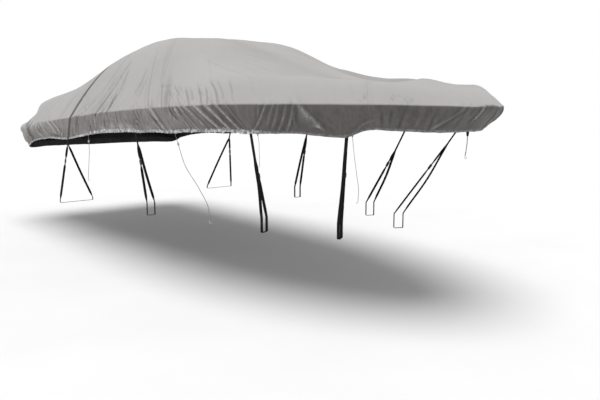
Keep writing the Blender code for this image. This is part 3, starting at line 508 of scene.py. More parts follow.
STARBOARD_FOLDS = (
    # round the stern corner
    Fold(1.96, -0.04, 2.50, 0.190, 0.02, 0.014, 0.013, 0.3, 1.0),
    Fold(2.16, -0.03, 2.66, 0.195, 0.02, 0.012, 0.010, 0.3, 1.0),
    Fold(1.78, -0.02, 2.14, 0.190, 0.02, 0.018, 0.010, 0.3, 1.0),
    Fold(1.50, -0.06, 1.90, 0.200, 0.02, 0.026, 0.010, 0.2, 1.0),
    Fold(2.26, 0.185, 2.60, 0.228, 0.01, 0.020, -0.012, 0.5, 0.9),
    Fold(1.19, -0.05, 1.45, 0.110, 0.00, 0.016, -0.016, 0.3, 0.9),
    Fold(1.45, 0.11, 1.30, 0.245, 0.00, 0.016, -0.014, 0.9, 0.5),
    Fold(1.28, -0.10, 1.56, 0.120, 0.02, 0.018, 0.010, 0.1, 0.6),
    Fold(1.62, 0.02, 1.86, 0.200, 0.02, 0.014, -0.009, 0.2, 0.8),
    Fold(1.70, 0.10, 1.98, 0.225, 0.01, 0.012, 0.009, 0.2, 0.8),
    Fold(1.02, -0.12, 1.04, 0.200, 0.03, 0.034, 0.014, 0.2, 0.8),
    Fold(0.84, -0.12, 0.76, 0.240, 0.02, 0.030, 0.011, 0.2, 1.0),
    # long pulls down the aft slope from the crown
    Fold(3.90, -0.44, 3.62, 0.005, 0.03, 0.026, -0.017, 0.0, 0.9),
    Fold(3.70, -0.30, 3.52, 0.005, 0.02, 0.017, 0.010, 0.0, 0.9),
    Fold(3.98, -0.34, 3.91, 0.002, 0.03, 0.024, -0.020, 0.0, 1.0),
    Fold(3.84, -0.15, 3.77, -0.004, 0.01, 0.014, 0.012, 0.2, 1.0),
    Fold(4.04, -0.26, 3.96, -0.080, 0.02, 0.020, -0.012, 0.0, 0.2),
    Fold(3.62, -0.62, 3.46, -0.120, 0.03, 0.028, -0.006, 0.0, 0.2),
    Fold(3.44, -0.16, 3.12, -0.004, 0.02, 0.012, 0.009, 0.1, 0.9),
    Fold(3.34, -0.11, 3.03, -0.006, 0.02, 0.010, 0.008, 0.1, 0.9),
    Fold(3.24, -0.10, 2.98, -0.020, 0.01, 0.009, -0.004, 0.1, 0.6),
    Fold(2.96, -0.152, 3.22, -0.096, 0.01, 0.007, 0.005, 0.5, 0.5),
    Fold(4.49, -0.30, 4.40, -0.110, 0.01, 0.016, -0.009, 0.0, 0.2),
    Fold(4.55, -0.26, 4.47, -0.080, 0.01, 0.015, 0.005, 0.0, 0.2),
    Fold(4.58, -0.60, 4.75, -0.020, -0.03, 0.016, -0.003, 0.0, 1.0),
    Fold(4.64, -0.22, 4.70, -0.060, -0.01, 0.011, 0.004, 0.1, 0.9),
    Fold(4.86, -0.56, 4.90, -0.160, -0.02, 0.020, -0.0018, 0.0, 0.0),
    # the shallow hollow under the crown, and the short pulls above the rub rail
    Fold(4.95, -0.15, 5.00, -0.010, 0.00, 0.010, -0.007, 0.9, 0.9),
    Fold(5.05, -0.15, 5.07, -0.010, 0.00, 0.045, -0.004, 0.9, 0.9),
    Fold(5.10, -0.12, 5.19, -0.060, 0.00, 0.012, 0.009, 0.3, 0.5),
    Fold(5.15, -0.14, 5.23, -0.090, 0.00, 0.012, -0.010, 0.3, 0.5),
    Fold(5.20, -0.13, 5.28, -0.090, 0.00, 0.010, 0.008, 0.3, 0.5),
    Fold(5.16, -0.05, 5.22, -0.006, 0.00, 0.010, 0.006, 0.3, 0.9),
    Fold(5.22, -0.07, 5.28, -0.006, 0.00, 0.010, -0.007, 0.3, 0.9),
    Fold(5.32, -0.12, 5.39, -0.010, 0.01, 0.012, -0.008, 0.2, 0.8),
    Fold(5.37, -0.11, 5.44, -0.006, 0.01, 0.012, 0.008, 0.2, 0.8),
    Fold(5.49, -0.13, 5.55, -0.030, 0.01, 0.011, -0.011, 0.2, 0.5),
    Fold(5.53, -0.10, 5.59, -0.010, 0.01, 0.010, 0.006, 0.2, 0.8),
    Fold(5.59, -0.12, 5.63, -0.010, 0.01, 0.011, -0.009, 0.1, 0.8),
    Fold(5.63, -0.17, 5.75, -0.006, 0.02, 0.013, -0.007, 0.0, 0.8),
    Fold(5.67, -0.18, 5.80, -0.006, 0.02, 0.013, 0.006, 0.0, 0.7),
    Fold(5.86, -0.16, 5.91, -0.040, 0.01, 0.014, -0.004, 0.1, 0.2),
    # the bright double pull across the skirt under the crown, with the deep wedge behind it
    Fold(4.73, -0.04, 4.84, 0.150, 0.01, 0.010, 0.016, 0.5, 0.2),
    Fold(4.79, -0.04, 4.94, 0.200, 0.01, 0.012, 0.024, 0.3, 0.9),
    Fold(4.78, 0.040, 4.89, 0.225, 0.00, 0.018, -0.022, 0.2, 1.0),
    Fold(4.98, 0.020, 5.04, 0.215, 0.00, 0.022, 0.005, 0.2, 0.4),
    # slanting row of pulls
    Fold(5.21, 0.010, 5.31, 0.212, 0.01, 0.010, 0.012, 0.3, 0.8),
    Fold(5.26, 0.004, 5.41, 0.195, 0.01, 0.011, 0.014, 0.6, 0.8),
    Fold(5.34, 0.004, 5.53, 0.190, 0.01, 0.011, 0.018, 0.8, 0.7),
    Fold(5.48, 0.004, 5.69, 0.212, 0.01, 0.024, 0.018, 0.6, 0.9),
    Fold(5.61, 0.004, 5.80, 0.208, 0.01, 0.023, 0.018, 0.6, 0.9),
    Fold(5.73, 0.004, 5.92, 0.220, 0.01, 0.018, 0.016, 0.6, 0.9),
    Fold(5.83, -0.01, 5.97, 0.212, 0.01, 0.008, 0.010, 0.5, 0.6),
    # upright row of pulls
    Fold(6.24, 0.014, 6.07, 0.205, 0.01, 0.009, 0.014, 0.6, 0.9),
    Fold(6.18, 0.014, 6.13, 0.140, 0.00, 0.008, 0.009, 0.6, 0.0),
    Fold(6.31, 0.014, 6.20, 0.180, 0.00, 0.011, 0.010, 0.6, 0.3),
    Fold(6.35, 0.014, 6.24, 0.200, 0.01, 0.010, 0.010, 0.6, 0.6),
    Fold(6.42, 0.014, 6.30, 0.210, 0.01, 0.009, 0.012, 0.6, 0.8),
    Fold(6.48, 0.014, 6.37, 0.215, 0.01, 0.010, 0.013, 0.6, 0.8),
    Fold(6.50, 0.040, 6.46, 0.190, -0.02, 0.009, 0.011, 0.2, 0.5),
    # edge of the flat triangle above the last strap
    Fold(6.50, -0.01, 6.66, 0.172, 0.01, 0.020, 0.006, 0.6, 0.8),
    Fold(6.56, 0.168, 6.66, 0.172, 0.00, 0.012, 0.010, 0.3, 0.6),
    Fold(6.54, 0.060, 6.60, 0.130, 0.00, 0.022, 0.006, 0.3, 0.3),
    Fold(6.68, 0.110, 6.80, 0.205, 0.01, 0.016, 0.004, 0.1, 0.3),
    Fold(6.93, 0.225, 7.12, 0.120, 0.01, 0.016, 0.007, 0.7, 0.0),
    # soft upright folds of the bow
    Fold(7.14, 0.080, 7.13, 0.200, 0.00, 0.018, -0.003, 0.1, 0.6),
    Fold(7.22, 0.050, 7.19, 0.200, 0.00, 0.014, -0.003, 0.1, 0.5),
    Fold(7.30, 0.060, 7.25, 0.215, 0.00, 0.011, -0.005, 0.1, 0.9),
    Fold(7.34, 0.005, 7.30, 0.160, 0.00, 0.016, 0.004, 0.3, 0.2),
    Fold(7.42, 0.005, 7.37, 0.225, 0.00, 0.018, 0.004, 0.3, 0.5),
    Fold(7.50, 0.060, 7.48, 0.215, 0.00, 0.014, -0.005, 0.1, 0.8),
    Fold(7.63, 0.020, 7.50, 0.210, 0.01, 0.018, 0.005, 0.3, 0.6),
    Fold(7.72, -0.01, 7.50, 0.210, 0.01, 0.014, 0.009, 0.6, 0.4),
    Fold(7.77, -0.01, 7.58, 0.205, 0.01, 0.016, 0.006, 0.5, 0.4),
    Fold(7.85, 0.000, 7.80, 0.160, 0.00, 0.009, 0.014, 0.8, 0.2),
    # foredeck: small pulls over the last seam, and long slack waves along the top
    Fold(7.06, -0.07, 7.00, -0.020, 0.00, 0.012, -0.004, 0.1, 0.3),
    Fold(7.24, -0.07, 7.20, -0.020, 0.00, 0.010, -0.004, 0.1, 0.3),
    Fold(7.30, -0.08, 7.26, -0.016, 0.00, 0.010, 0.003, 0.1, 0.3),
    Fold(7.36, -0.06, 7.33, -0.012, 0.00, 0.010, -0.003, 0.1, 0.3),
    Fold(5.40, -0.42, 6.10, -0.210, 0.04, 0.024, -0.007, 0.0, 0.0),
    Fold(5.72, -0.62, 6.42, -0.720, 0.03, 0.022, 0.008, 0.0, 0.0),
    Fold(5.62, -0.52, 6.36, -0.560, 0.03, 0.020, -0.007, 0.0, 0.0),
    Fold(5.80, -0.80, 6.50, -0.960, 0.04, 0.028, 0.007, 0.0, 0.0),
)

PORT_FOLDS = (
    Fold(1.60, -0.12, 2.44, 0.205, 0.03, 0.022, 0.015, 0.2, 1.0),
    Fold(1.42, -0.08, 2.12, 0.200, 0.02, 0.024, 0.012, 0.2, 1.0),
    Fold(1.22, -0.14, 1.34, 0.230, -0.02, 0.030, -0.013, 0.2, 0.8),
    Fold(1.06, -0.18, 1.02, 0.200, 0.03, 0.032, 0.013, 0.2, 0.8),
    Fold(0.78, -0.12, 0.70, 0.230, 0.02, 0.028, 0.010, 0.2, 1.0),
    Fold(2.00, -0.06, 2.66, 0.190, 0.01, 0.018, 0.010, 0.2, 0.9),
    Fold(3.30, -0.58, 3.16, 0.000, 0.03, 0.030, 0.007, 0.0, 0.6),
    Fold(3.62, -0.44, 3.50, -0.010, 0.02, 0.017, -0.010, 0.0, 0.8),
    Fold(3.70, -0.38, 3.58, -0.010, 0.02, 0.015, 0.008, 0.0, 0.8),
    Fold(4.22, -0.40, 4.06, -0.006, 0.02, 0.015, -0.011, 0.0, 1.0),
    Fold(4.30, -0.34, 4.13, -0.006, 0.02, 0.014, 0.008, 0.0, 1.0),
    Fold(4.58, -0.60, 4.66, -0.010, -0.03, 0.017, -0.009, 0.0, 1.0),
    Fold(4.36, -0.02, 4.56, 0.210, 0.01, 0.013, 0.014, 0.5, 0.9),
    Fold(4.86, -0.34, 4.94, -0.020, -0.02, 0.015, 0.006, 0.0, 0.6),
    Fold(5.14, -0.18, 5.24, -0.010, 0.01, 0.013, -0.008, 0.1, 0.7),
    Fold(5.24, -0.14, 5.35, -0.006, 0.01, 0.013, 0.007, 0.1, 0.8),
    Fold(5.40, -0.16, 5.50, -0.006, 0.01, 0.013, -0.007, 0.1, 0.8),
    Fold(5.06, 0.000, 5.22, 0.205, 0.01, 0.013, 0.014, 0.6, 0.8),
    Fold(5.17, -0.01, 5.34, 0.210, 0.01, 0.013, 0.013, 0.6, 0.8),
    Fold(5.30, -0.01, 5.48, 0.200, 0.01, 0.014, 0.017, 0.6, 0.8),
    Fold(5.42, -0.01, 5.58, 0.210, 0.01, 0.013, 0.013, 0.6, 0.8),
    Fold(5.55, 0.000, 5.72, 0.205, 0.01, 0.014, 0.014, 0.5, 0.8),
    Fold(5.68, 0.010, 5.80, 0.215, 0.01, 0.013, 0.010, 0.4, 0.8),
    Fold(6.16, 0.000, 6.04, 0.210, 0.01, 0.012, 0.012, 0.7, 0.8),
    Fold(6.27, 0.000, 6.16, 0.215, 0.01, 0.012, 0.011, 0.6, 0.8),
    Fold(6.42, 0.000, 6.30, 0.220, 0.01, 0.013, 0.013, 0.5, 0.8),
    Fold(6.60, 0.020, 6.50, 0.215, 0.01, 0.014, 0.010, 0.4, 0.7),
    Fold(6.68, 0.000, 6.80, 0.170, 0.01, 0.022, 0.011, 0.6, 0.5),
    Fold(7.18, 0.010, 7.10, 0.210, 0.00, 0.026, 0.007, 0.3, 0.6),
    Fold(7.34, 0.005, 7.28, 0.220, 0.00, 0.020, 0.008, 0.4, 0.7),
    Fold(7.50, 0.005, 7.42, 0.225, 0.00, 0.018, 0.010, 0.5, 0.8),
    Fold(7.66, 0.005, 7.56, 0.215, 0.01, 0.017, 0.010, 0.5, 0.7),
    Fold(7.82, 0.020, 7.70, 0.210, 0.01, 0.014, 0.012, 0.6, 0.6),
    Fold(5.50, -0.50, 6.20, -0.300, 0.04, 0.024, -0.006, 0.0, 0.0),
    Fold(5.66, -0.72, 6.34, -0.860, 0.03, 0.024, 0.006, 0.0, 0.0),
)
FOLDS = {"starboard": STARBOARD_FOLDS, "port": PORT_FOLDS}
CREST_SHARPNESS = 1.5       # 2 is a round crest, 1 a sharp one
TROUGH_SHARE = 0.42         # depth of the hollow beside a crest, as a share of its height
TROUGH_SPREAD = 2.3         # and its width
FADE_SHARE = 0.4            # share of its length over which a fold rises from either end


def crest(x):
    """Cross-section of a fold: a crest at 0 with a shallow hollow each side."""
    hollow = TROUGH_SHARE * np.exp(-(x / TROUGH_SPREAD) ** 2)
    return (np.exp(-np.abs(x) ** CREST_SHARPNESS) - hollow) / (1 - TROUGH_SHARE)


def lay_fold(lift, runs, drops, fold):
    """Adds one fold to the lift of the grid, rows by drop and columns by run."""
    reach = 5 * fold.width + abs(fold.bow) + 0.05
    first, last = np.searchsorted(runs[0], (min(fold.run, fold.end_run) - reach,
                                            max(fold.run, fold.end_run) + reach))
    if last <= first:
        return
    along = np.array([fold.end_run - fold.run, fold.end_drop - fold.drop])
    length = math.hypot(*along)
    along = along / length
    aside_run = runs[:, first:last] - fold.run
    aside_drop = drops[:, first:last] - fold.drop
    t = (aside_run * along[0] + aside_drop * along[1]) / length
    inside = np.clip(t, 0, 1)
    off = aside_run * along[1] - aside_drop * along[0] - 4 * fold.bow * inside * (1 - inside)
    over = np.maximum(np.abs(t - 0.5) - 0.5, 0) * length / (2 * fold.width)
    fade_in = 1 - (1 - fold.start) * (1 - np.clip(inside / FADE_SHARE, 0, 1)) ** 2
    fade_out = 1 - (1 - fold.end) * (1 - np.clip((1 - inside) / FADE_SHARE, 0, 1)) ** 2
    lift[:, first:last] += (fold.height * crest(off / fold.width) * fade_in * fade_out
                            * np.exp(-over ** 2))


# Stretches of the skirt and top where small seeded folds gather: from and to, how many a metre,
# the drop where they begin and end, how they lean, and their width and height.
Family = namedtuple("Family", "run end_run a_metre drop end_drop lean width height")
FAMILIES = (
    # gathers that stand up from the elastic hem
    Family(0.00, 1.05, 24, 0.245, 0.120, 0.02, 0.008, 0.0065),
    Family(1.05, 2.10, 24, 0.245, 0.110, -0.07, 0.008, 0.0070),
    Family(2.10, 2.86, 28, 0.245, 0.130, -0.08, 0.008, 0.0080),
    Family(2.92, 4.70, 32, 0.245, 0.120, 0.00, 0.007, 0.0085),
    Family(4.70, 5.20, 34, 0.245, 0.140, -0.03, 0.008, 0.0060),
    Family(5.20, 5.95, 30, 0.245, 0.180, -0.05, 0.007, 0.0075),
    Family(5.95, 6.45, 26, 0.245, 0.205, 0.04, 0.007, 0.0040),
    Family(6.60, 7.30, 8, 0.245, 0.180, 0.01, 0.012, 0.0012),
    Family(7.30, 7.85, 12, 0.245, 0.150, 0.04, 0.011, 0.0020),
    # uneven upright pulls of the whole skirt behind the crown
    Family(2.92, 4.70, 13, 0.000, 0.200, -0.03, 0.010, 0.0095),
    Family(2.92, 4.70, 12, 0.040, 0.130, 0.03, 0.009, 0.0080),
    Family(0.10, 1.10, 8, 0.010, 0.200, 0.01, 0.014, 0.0045),
    Family(1.50, 2.80, 6, 0.010, 0.190, 0.10, 0.012, 0.0035),
    Family(7.10, 7.80, 8, 0.010, 0.220, -0.05, 0.011, 0.0026),
    # crumples across the gathers
    Family(1.15, 1.90, 26, 0.030, 0.110, 0.06, 0.009, 0.0080),
    Family(2.10, 2.80, 30, 0.120, 0.200, 0.08, 0.009, 0.0085),
    Family(3.40, 4.70, 26, 0.100, 0.170, 0.06, 0.008, 0.0080),
    Family(3.60, 4.70, 20, 0.170, 0.120, 0.07, 0.008, 0.0075),
    Family(5.10, 5.24, 60, 0.015, 0.110, 0.04, 0.010, 0.0070),
    # short pulls that leave the rub rail upward
    Family(2.95, 4.70, 9, -0.003, -0.060, 0.02, 0.009, 0.0034),
    Family(5.08, 5.95, 6, -0.003, -0.070, -0.05, 0.009, 0.0026),
    Family(1.10, 2.80, 4, -0.003, -0.080, -0.04, 0.012, 0.0024),
    Family(7.00, 7.85, 5, -0.003, -0.050, 0.02, 0.010, 0.0012),
    # long faint tension lines of the top
    Family(2.95, 4.75, 3, -0.06, -0.52, 0.08, 0.026, 0.0030),
    Family(4.80, 6.40, 2, -0.10, -0.52, -0.12, 0.028, 0.0010),
    Family(0.20, 2.80, 2, -0.06, -0.50, 0.06, 0.026, 0.0024),
    Family(6.40, 7.80, 2, -0.06, -0.50, -0.06, 0.022, 0.0014),
)


# Heights and lengths of the waves by which a family's strength varies
PATCHY_WAVES = ((1.0, 1.0, 0.7), (0.47, 0.21, 0.12))


def patchy(chance):
    """Smooth uneven strength along the run, so that a family comes and goes."""
    phases = chance.uniform(0, TWO_PI, 3)

    def strength(run):
        wave = sum(height * math.sin(TWO_PI * run / length + phase)
                   for height, length, phase in zip(*PATCHY_WAVES, phases))
        return max(0.12, 0.85 + 0.42 * wave)

    return strength


def family_folds(family, chance):
    """One family's folds, uneven in place, length, lean, height and width."""
    count = round((family.end_run - family.run) * family.a_metre)
    pitch = (family.end_run - family.run) / max(count, 1)
    strength = patchy(chance)
    from_edge = family.drop < 0 or family.drop > 0.2
    folds = []
    for k in range(count):
        run = family.run + pitch * (k + chance.uniform(0.0, 1.0))
        share = chance.uniform(0.35, 1.15)
        end_drop = family.drop + (family.end_drop - family.drop) * share
        lean = family.lean * share + chance.normal(0, 0.014)
        height = family.height * chance.uniform(0.3, 1.5) * chance.choice((1, 1, 1, -0.8))
        width = family.width * chance.uniform(0.7, 1.5)
        folds.append(Fold(run, family.drop, run + lean, end_drop, chance.normal(0, 0.006), width,
                          height * strength(run), 1.0 if from_edge else 0.3, 0.0))
    return folds


# Lines of painted shade along creases (strength above 0) and of painted highlight (below 0) on
# the cloth, laid out as the folds are, with the strength in place of the height
STREAKS = {
    "starboard": (
        Fold(2.98, -0.17, 2.90, -0.010, 0.00, 0.016, 0.55, 0.3, 1.0),
        Fold(2.90, -0.01, 2.857, 0.200, 0.00, 0.014, 0.75, 1.0, 0.8),
        Fold(3.76, -0.20, 3.62, 0.000, 0.01, 0.020, 0.66, 0.0, 0.9),
        Fold(3.93, -0.20, 3.90, -0.020, 0.01, 0.018, 0.62, 0.0, 0.8),
        Fold(4.01, -0.20, 3.94, -0.090, 0.01, 0.016, 0.55, 0.0, 0.3),
        Fold(4.49, -0.23, 4.42, -0.140, 0.00, 0.012, 0.25, 0.1, 0.3),
        Fold(3.84, -0.11, 3.77, -0.012, 0.00, 0.011, -0.40, 0.3, 0.9),
        Fold(3.37, -0.09, 3.14, -0.012, 0.00, 0.011, -0.35, 0.2, 0.8),
        Fold(3.28, -0.07, 3.05, -0.012, 0.00, 0.010, -0.30, 0.2, 0.8),
        Fold(3.22, -0.10, 2.96, -0.152, 0.00, 0.008, -0.30, 0.5, 0.5),
        Fold(1.20, -0.05, 1.31, 0.005, 0.00, 0.026, 0.80, 0.3, 1.0),
        Fold(1.33, 0.010, 1.50, 0.085, 0.00, 0.034, 0.90, 1.0, 1.0),
        Fold(5.10, 0.010, 5.19, 0.120, 0.00, 0.010, 0.50, 0.3, 0.7),
        Fold(5.19, 0.015, 5.12, 0.110, 0.00, 0.010, 0.45, 0.3, 0.7),
        Fold(5.13, 0.060, 5.18, 0.035, 0.00, 0.008, -0.45, 0.3, 0.3),
        Fold(1.50, 0.09, 1.49, 0.250, 0.00, 0.060, 0.80, 1.0, 0.9),
        Fold(2.12, 0.004, 2.47, 0.178, 0.02, 0.011, -0.40, 0.4, 0.9),
        Fold(2.28, 0.013, 2.62, 0.178, 0.02, 0.010, -0.40, 0.4, 0.9),
        Fold(1.88, 0.025, 2.00, 0.105, 0.00, 0.011, -0.30, 0.4, 0.6),
        Fold(3.54, 0.020, 3.46, 0.160, 0.00, 0.011, -0.35, 0.5, 0.5),
        Fold(3.71, 0.020, 3.70, 0.130, 0.00, 0.010, -0.35, 0.5, 0.5),
        Fold(3.11, 0.000, 3.13, 0.207, 0.04, 0.015, 0.65, 0.8, 0.7),
        Fold(3.84, 0.040, 3.74, 0.210, 0.00, 0.015, 0.55, 0.6, 0.7),
        Fold(4.20, 0.010, 4.18, 0.120, 0.00, 0.012, 0.40, 0.7, 0.3),
        Fold(4.74, -0.01, 4.82, 0.120, 0.00, 0.011, -0.40, 0.6, 0.4),
        Fold(4.80, -0.01, 4.94, 0.195, 0.01, 0.012, -0.55, 0.6, 0.9),
        Fold(4.81, 0.105, 4.93, 0.225, 0.00, 0.020, 0.90, 0.3, 1.0),
        Fold(4.93, -0.155, 5.00, -0.012, 0.00, 0.011, 0.30, 0.9, 0.9),
        Fold(5.02, -0.145, 5.05, -0.012, 0.00, 0.036, 0.26, 1.0, 1.0),
        Fold(5.09, -0.145, 5.12, -0.012, 0.00, 0.036, 0.26, 1.0, 1.0),
        Fold(4.93, -0.152, 5.10, -0.146, 0.00, 0.009, 0.22, 0.9, 0.9),
        Fold(5.33, -0.11, 5.39, -0.015, 0.01, 0.010, 0.28, 0.2, 0.8),
        Fold(5.50, -0.12, 5.55, -0.040, 0.01, 0.009, 0.32, 0.2, 0.5),
        Fold(5.60, -0.10, 5.63, -0.020, 0.01, 0.009, 0.30, 0.2, 0.7),
        Fold(5.66, -0.15, 5.75, -0.010, 0.02, 0.010, 0.28, 0.1, 0.8),
        Fold(5.13, 0.000, 5.20, 0.120, -0.02, 0.014, 0.80, 0.6, 0.6),
        Fold(5.17, 0.060, 5.14, 0.130, 0.00, 0.010, -0.45, 0.5, 0.4),
        Fold(6.50, 0.00, 6.66, 0.172, 0.01, 0.018, -0.22, 0.7, 1.0),
        Fold(7.85, 0.01, 7.81, 0.130, 0.00, 0.012, -0.26, 0.8, 0.4),
        Fold(7.49, 0.10, 7.48, 0.205, 0.00, 0.011, 0.25, 0.3, 0.8),
        Fold(7.28, 0.06, 7.26, 0.200, 0.00, 0.010, 0.22, 0.3, 0.9),
        Fold(7.21, 0.03, 7.19, 0.180, 0.00, 0.010, 0.18, 0.3, 0.8),
        Fold(7.14, 0.05, 7.13, 0.200, 0.00, 0.012, 0.16, 0.3, 0.8),
    ),
    "port": (
        Fold(2.98, -0.17, 2.90, -0.010, 0.00, 0.016, 0.45, 0.3, 1.0),
        Fold(2.90, -0.01, 2.857, 0.200, 0.00, 0.014, 0.60, 1.0, 0.8),
        Fold(3.70, -0.22, 3.60, 0.000, 0.01, 0.020, 0.36, 0.0, 0.9),
        Fold(1.19, -0.03, 1.44, 0.110, 0.00, 0.022, 0.50, 0.4, 1.0),
        Fold(1.44, 0.11, 1.30, 0.250, 0.00, 0.022, 0.45, 1.0, 0.6),
    ),
}
# Broad swells and hollows where something under the cloth bears on it or leaves it slack
Bulge = namedtuple("Bulge", "side run drop half_run half_drop height")
BULGES = (
    Bulge("both", 1.22, -0.080, 0.11, 0.040, -0.020),
    Bulge("both", 1.26, -0.165, 0.14, 0.060, 0.020),
    Bulge("both", 1.20, 0.055, 0.16, 0.034, 0.016),
    Bulge("both", 1.20, 0.118, 0.16, 0.040, -0.034),
    Bulge("both", 1.20, 0.175, 0.16, 0.05, 0.038),
    Bulge("port", 5.56, -0.720, 0.50, 0.16, 0.027),
    Bulge("starboard", 5.56, -0.720, 0.40, 0.13, 0.008),
    Bulge("port", 5.64, -0.500, 0.22, 0.11, -0.024),
    Bulge("port", 5.80, -0.430, 0.12, 0.10, 0.010),
    Bulge("port", 5.98, -0.340, 0.20, 0.14, 0.004),
    Bulge("port", 6.36, -0.240, 0.16, 0.12, 0.014),
    Bulge("both", 7.90, -1.250, 0.30, 0.25, 0.003),
    Bulge("port", 7.00, -0.220, 0.14, 0.12, -0.010),
    Bulge("port", 7.32, -0.200, 0.10, 0.12, 0.015),
    Bulge("starboard", 7.28, -0.240, 0.12, 0.12, 0.006),
    Bulge("both", 7.95, -0.010, 0.10, 0.06, 0.012),
    Bulge("both", 7.80, 0.210, 0.20, 0.05, 0.014),
)
# How much higher the cloth stands than the section table says
RAISES = (
    Bulge("both", 1.20, 0.010, 0.20, 0.10, 0.036),
    Bulge("starboard", 6.00, 0.000, 0.75, 0.09, 0.009),
    Bulge("both", 7.76, 0.000, 0.12, 0.08, -0.008),
)
# Patches of painted shade (strength above 0) and of painted highlight (below 0)
Patch = namedtuple("Patch", "side run drop half_run half_drop strength")
PATCHES = (
    Patch("both", 4.70, -1.220, 0.450, 0.160, 0.07),
    Patch("starboard", 6.00, -1.100, 0.450, 0.220, 0.20),
    Patch("starboard", 6.95, -1.050, 0.350, 0.220, 0.20),
    Patch("both", 4.30, -0.600, 0.480, 0.420, -0.20),
    Patch("both", 5.65, -0.220, 0.550, 0.180, -0.13),
    Patch("port", 5.92, -0.450, 0.300, 0.200, 0.30),
    Patch("port", 6.60, -0.350, 0.350, 0.200, 0.34),
    Patch("starboard", 3.75, -0.050, 0.400, 0.050, 0.12),
    Patch("starboard", 5.05, -0.080, 0.060, 0.070, 0.24),
    Patch("starboard", 5.17, 0.060, 0.026, 0.055, 0.60),
    Patch("starboard", 4.88, 0.190, 0.034, 0.045, 0.85),
    Patch("starboard", 4.83, 0.120, 0.020, 0.030, 0.50),
    Patch("starboard", 2.40, 0.205, 0.150, 0.022, 0.65),
    Patch("starboard", 1.58, 0.180, 0.120, 0.065, 0.60),
    Patch("starboard", 1.86, 0.100, 0.060, 0.060, 0.30),
    Patch("starboard", 3.15, 0.110, 0.018, 0.100, 0.55),
    Patch("starboard", 3.78, 0.120, 0.022, 0.090, 0.50),
    Patch("starboard", 3.44, 0.100, 0.018, 0.070, 0.35),
    Patch("starboard", 4.06, 0.140, 0.030, 0.060, 0.35),
    Patch("starboard", 4.45, 0.150, 0.120, 0.050, 0.35),
    Patch("starboard", 3.66, -0.040, 0.026, 0.050, 0.22),
    Patch("starboard", 3.93, -0.060, 0.022, 0.080, 0.22),
    Patch("starboard", 7.26, 0.150, 0.014, 0.080, 0.20),
    Patch("starboard", 7.86, 0.200, 0.080, 0.050, 0.50),
    Patch("port", 4.70, 0.180, 0.060, 0.040, 0.50),
    Patch("port", 3.30, 0.120, 0.030, 0.100, 0.35),
    Patch("port", 1.42, 0.080, 0.060, 0.120, 0.45),
    # small painted highlights
    Patch("both", 1.14, 0.070, 0.130, 0.120, -0.70),
    Patch("starboard", 3.83, -0.090, 0.030, 0.060, -0.18),
    Patch("starboard", 6.54, 0.050, 0.028, 0.040, -0.24),
    Patch("starboard", 6.57, 0.105, 0.045, 0.040, -0.26),
    Patch("starboard", 6.63, 0.158, 0.035, 0.018, -0.30),
    Patch("starboard", 3.95, 0.130, 0.040, 0.080, -0.22),
    Patch("starboard", 3.58, 0.090, 0.040, 0.080, -0.20),
    Patch("starboard", 2.30, 0.080, 0.160, 0.080, -0.14),
    Patch("starboard", 3.30, 0.205, 0.120, 0.022, -0.40),
    Patch("starboard", 3.72, 0.190, 0.060, 0.032, -0.60),
    Patch("starboard", 3.92, 0.180, 0.050, 0.038, -0.75),
    Patch("starboard", 4.10, 0.175, 0.060, 0.040, -0.80),
    Patch("starboard", 4.28, 0.190, 0.050, 0.030, -0.65),
    Patch("starboard", 4.62, 0.200, 0.100, 0.022, -0.35),
)


def mounds(table, side, runs, drops):
    """Sum of the soft mounds of a table of Bulge or Patch rows that are on this side."""
    total = np.zeros_like(drops)
    for row in table:
        if row.side in (side, "both"):
            total += row[-1] * np.exp(-((runs - row.run) / row.half_run) ** 2
                                      - ((drops - row.drop) / row.half_drop) ** 2)
    return total


# Sums of plane waves: how many, between which lengths, and the height of their sum
Wave = namedtuple("Wave", "count shortest longest height")
SWELL = Wave(14, 0.22, 0.75, 0.0026)
RIPPLE = Wave(22, 0.045, 0.14, 0.0005)
CRUMPLE = Wave(26, 0.018, 0.045, 0.0036)        # of the hem
SAG = Wave(10, 0.12, 0.7, 0.0014)               # of the hem


def waves(runs, drops, chance, kind):
    """Uneven waving of the cloth: a sum of seeded plane waves between two wavelengths."""
    total = np.zeros_like(drops)
    for _ in range(kind.count):
        length = chance.uniform(kind.shortest, kind.longest)
        turn = chance.uniform(0, math.pi)
        phase = chance.uniform(0, TWO_PI)
        total += np.sin(TWO_PI * (runs * math.cos(turn) + drops * math.sin(turn)) / length
                        + phase)
    return total * kind.height / math.sqrt(kind.count)


# ---------------------------------------------------------------- the cover's grid
TOP_COLUMN = 0.017          # distance between the top's columns along the rub rail
HALVED_GAP = 0.6 * TOP_COLUMN       # a wider gap has one more column on the skirt alone
TOP_ROWS = 54
TOP_CROWDING = 0.94         # below 1 spaces the first rows wider than the rest
RAIL_ROWS = (0.984, 0.994, 1.0, 1.018)      # reaches of the rows beside the rub rail
# Distances along the rub rail from a seam to the columns beside it
SEAM_COLUMNS = (0.0, 0.0022, 0.0044, 0.0066, 0.0090, 0.0125, 0.018, 0.026, 0.036, 0.050)
HEM_TALL = 0.027            # height of the elastic casing along the hem
HEM_BULGE = 0.0095          # how far it stands out
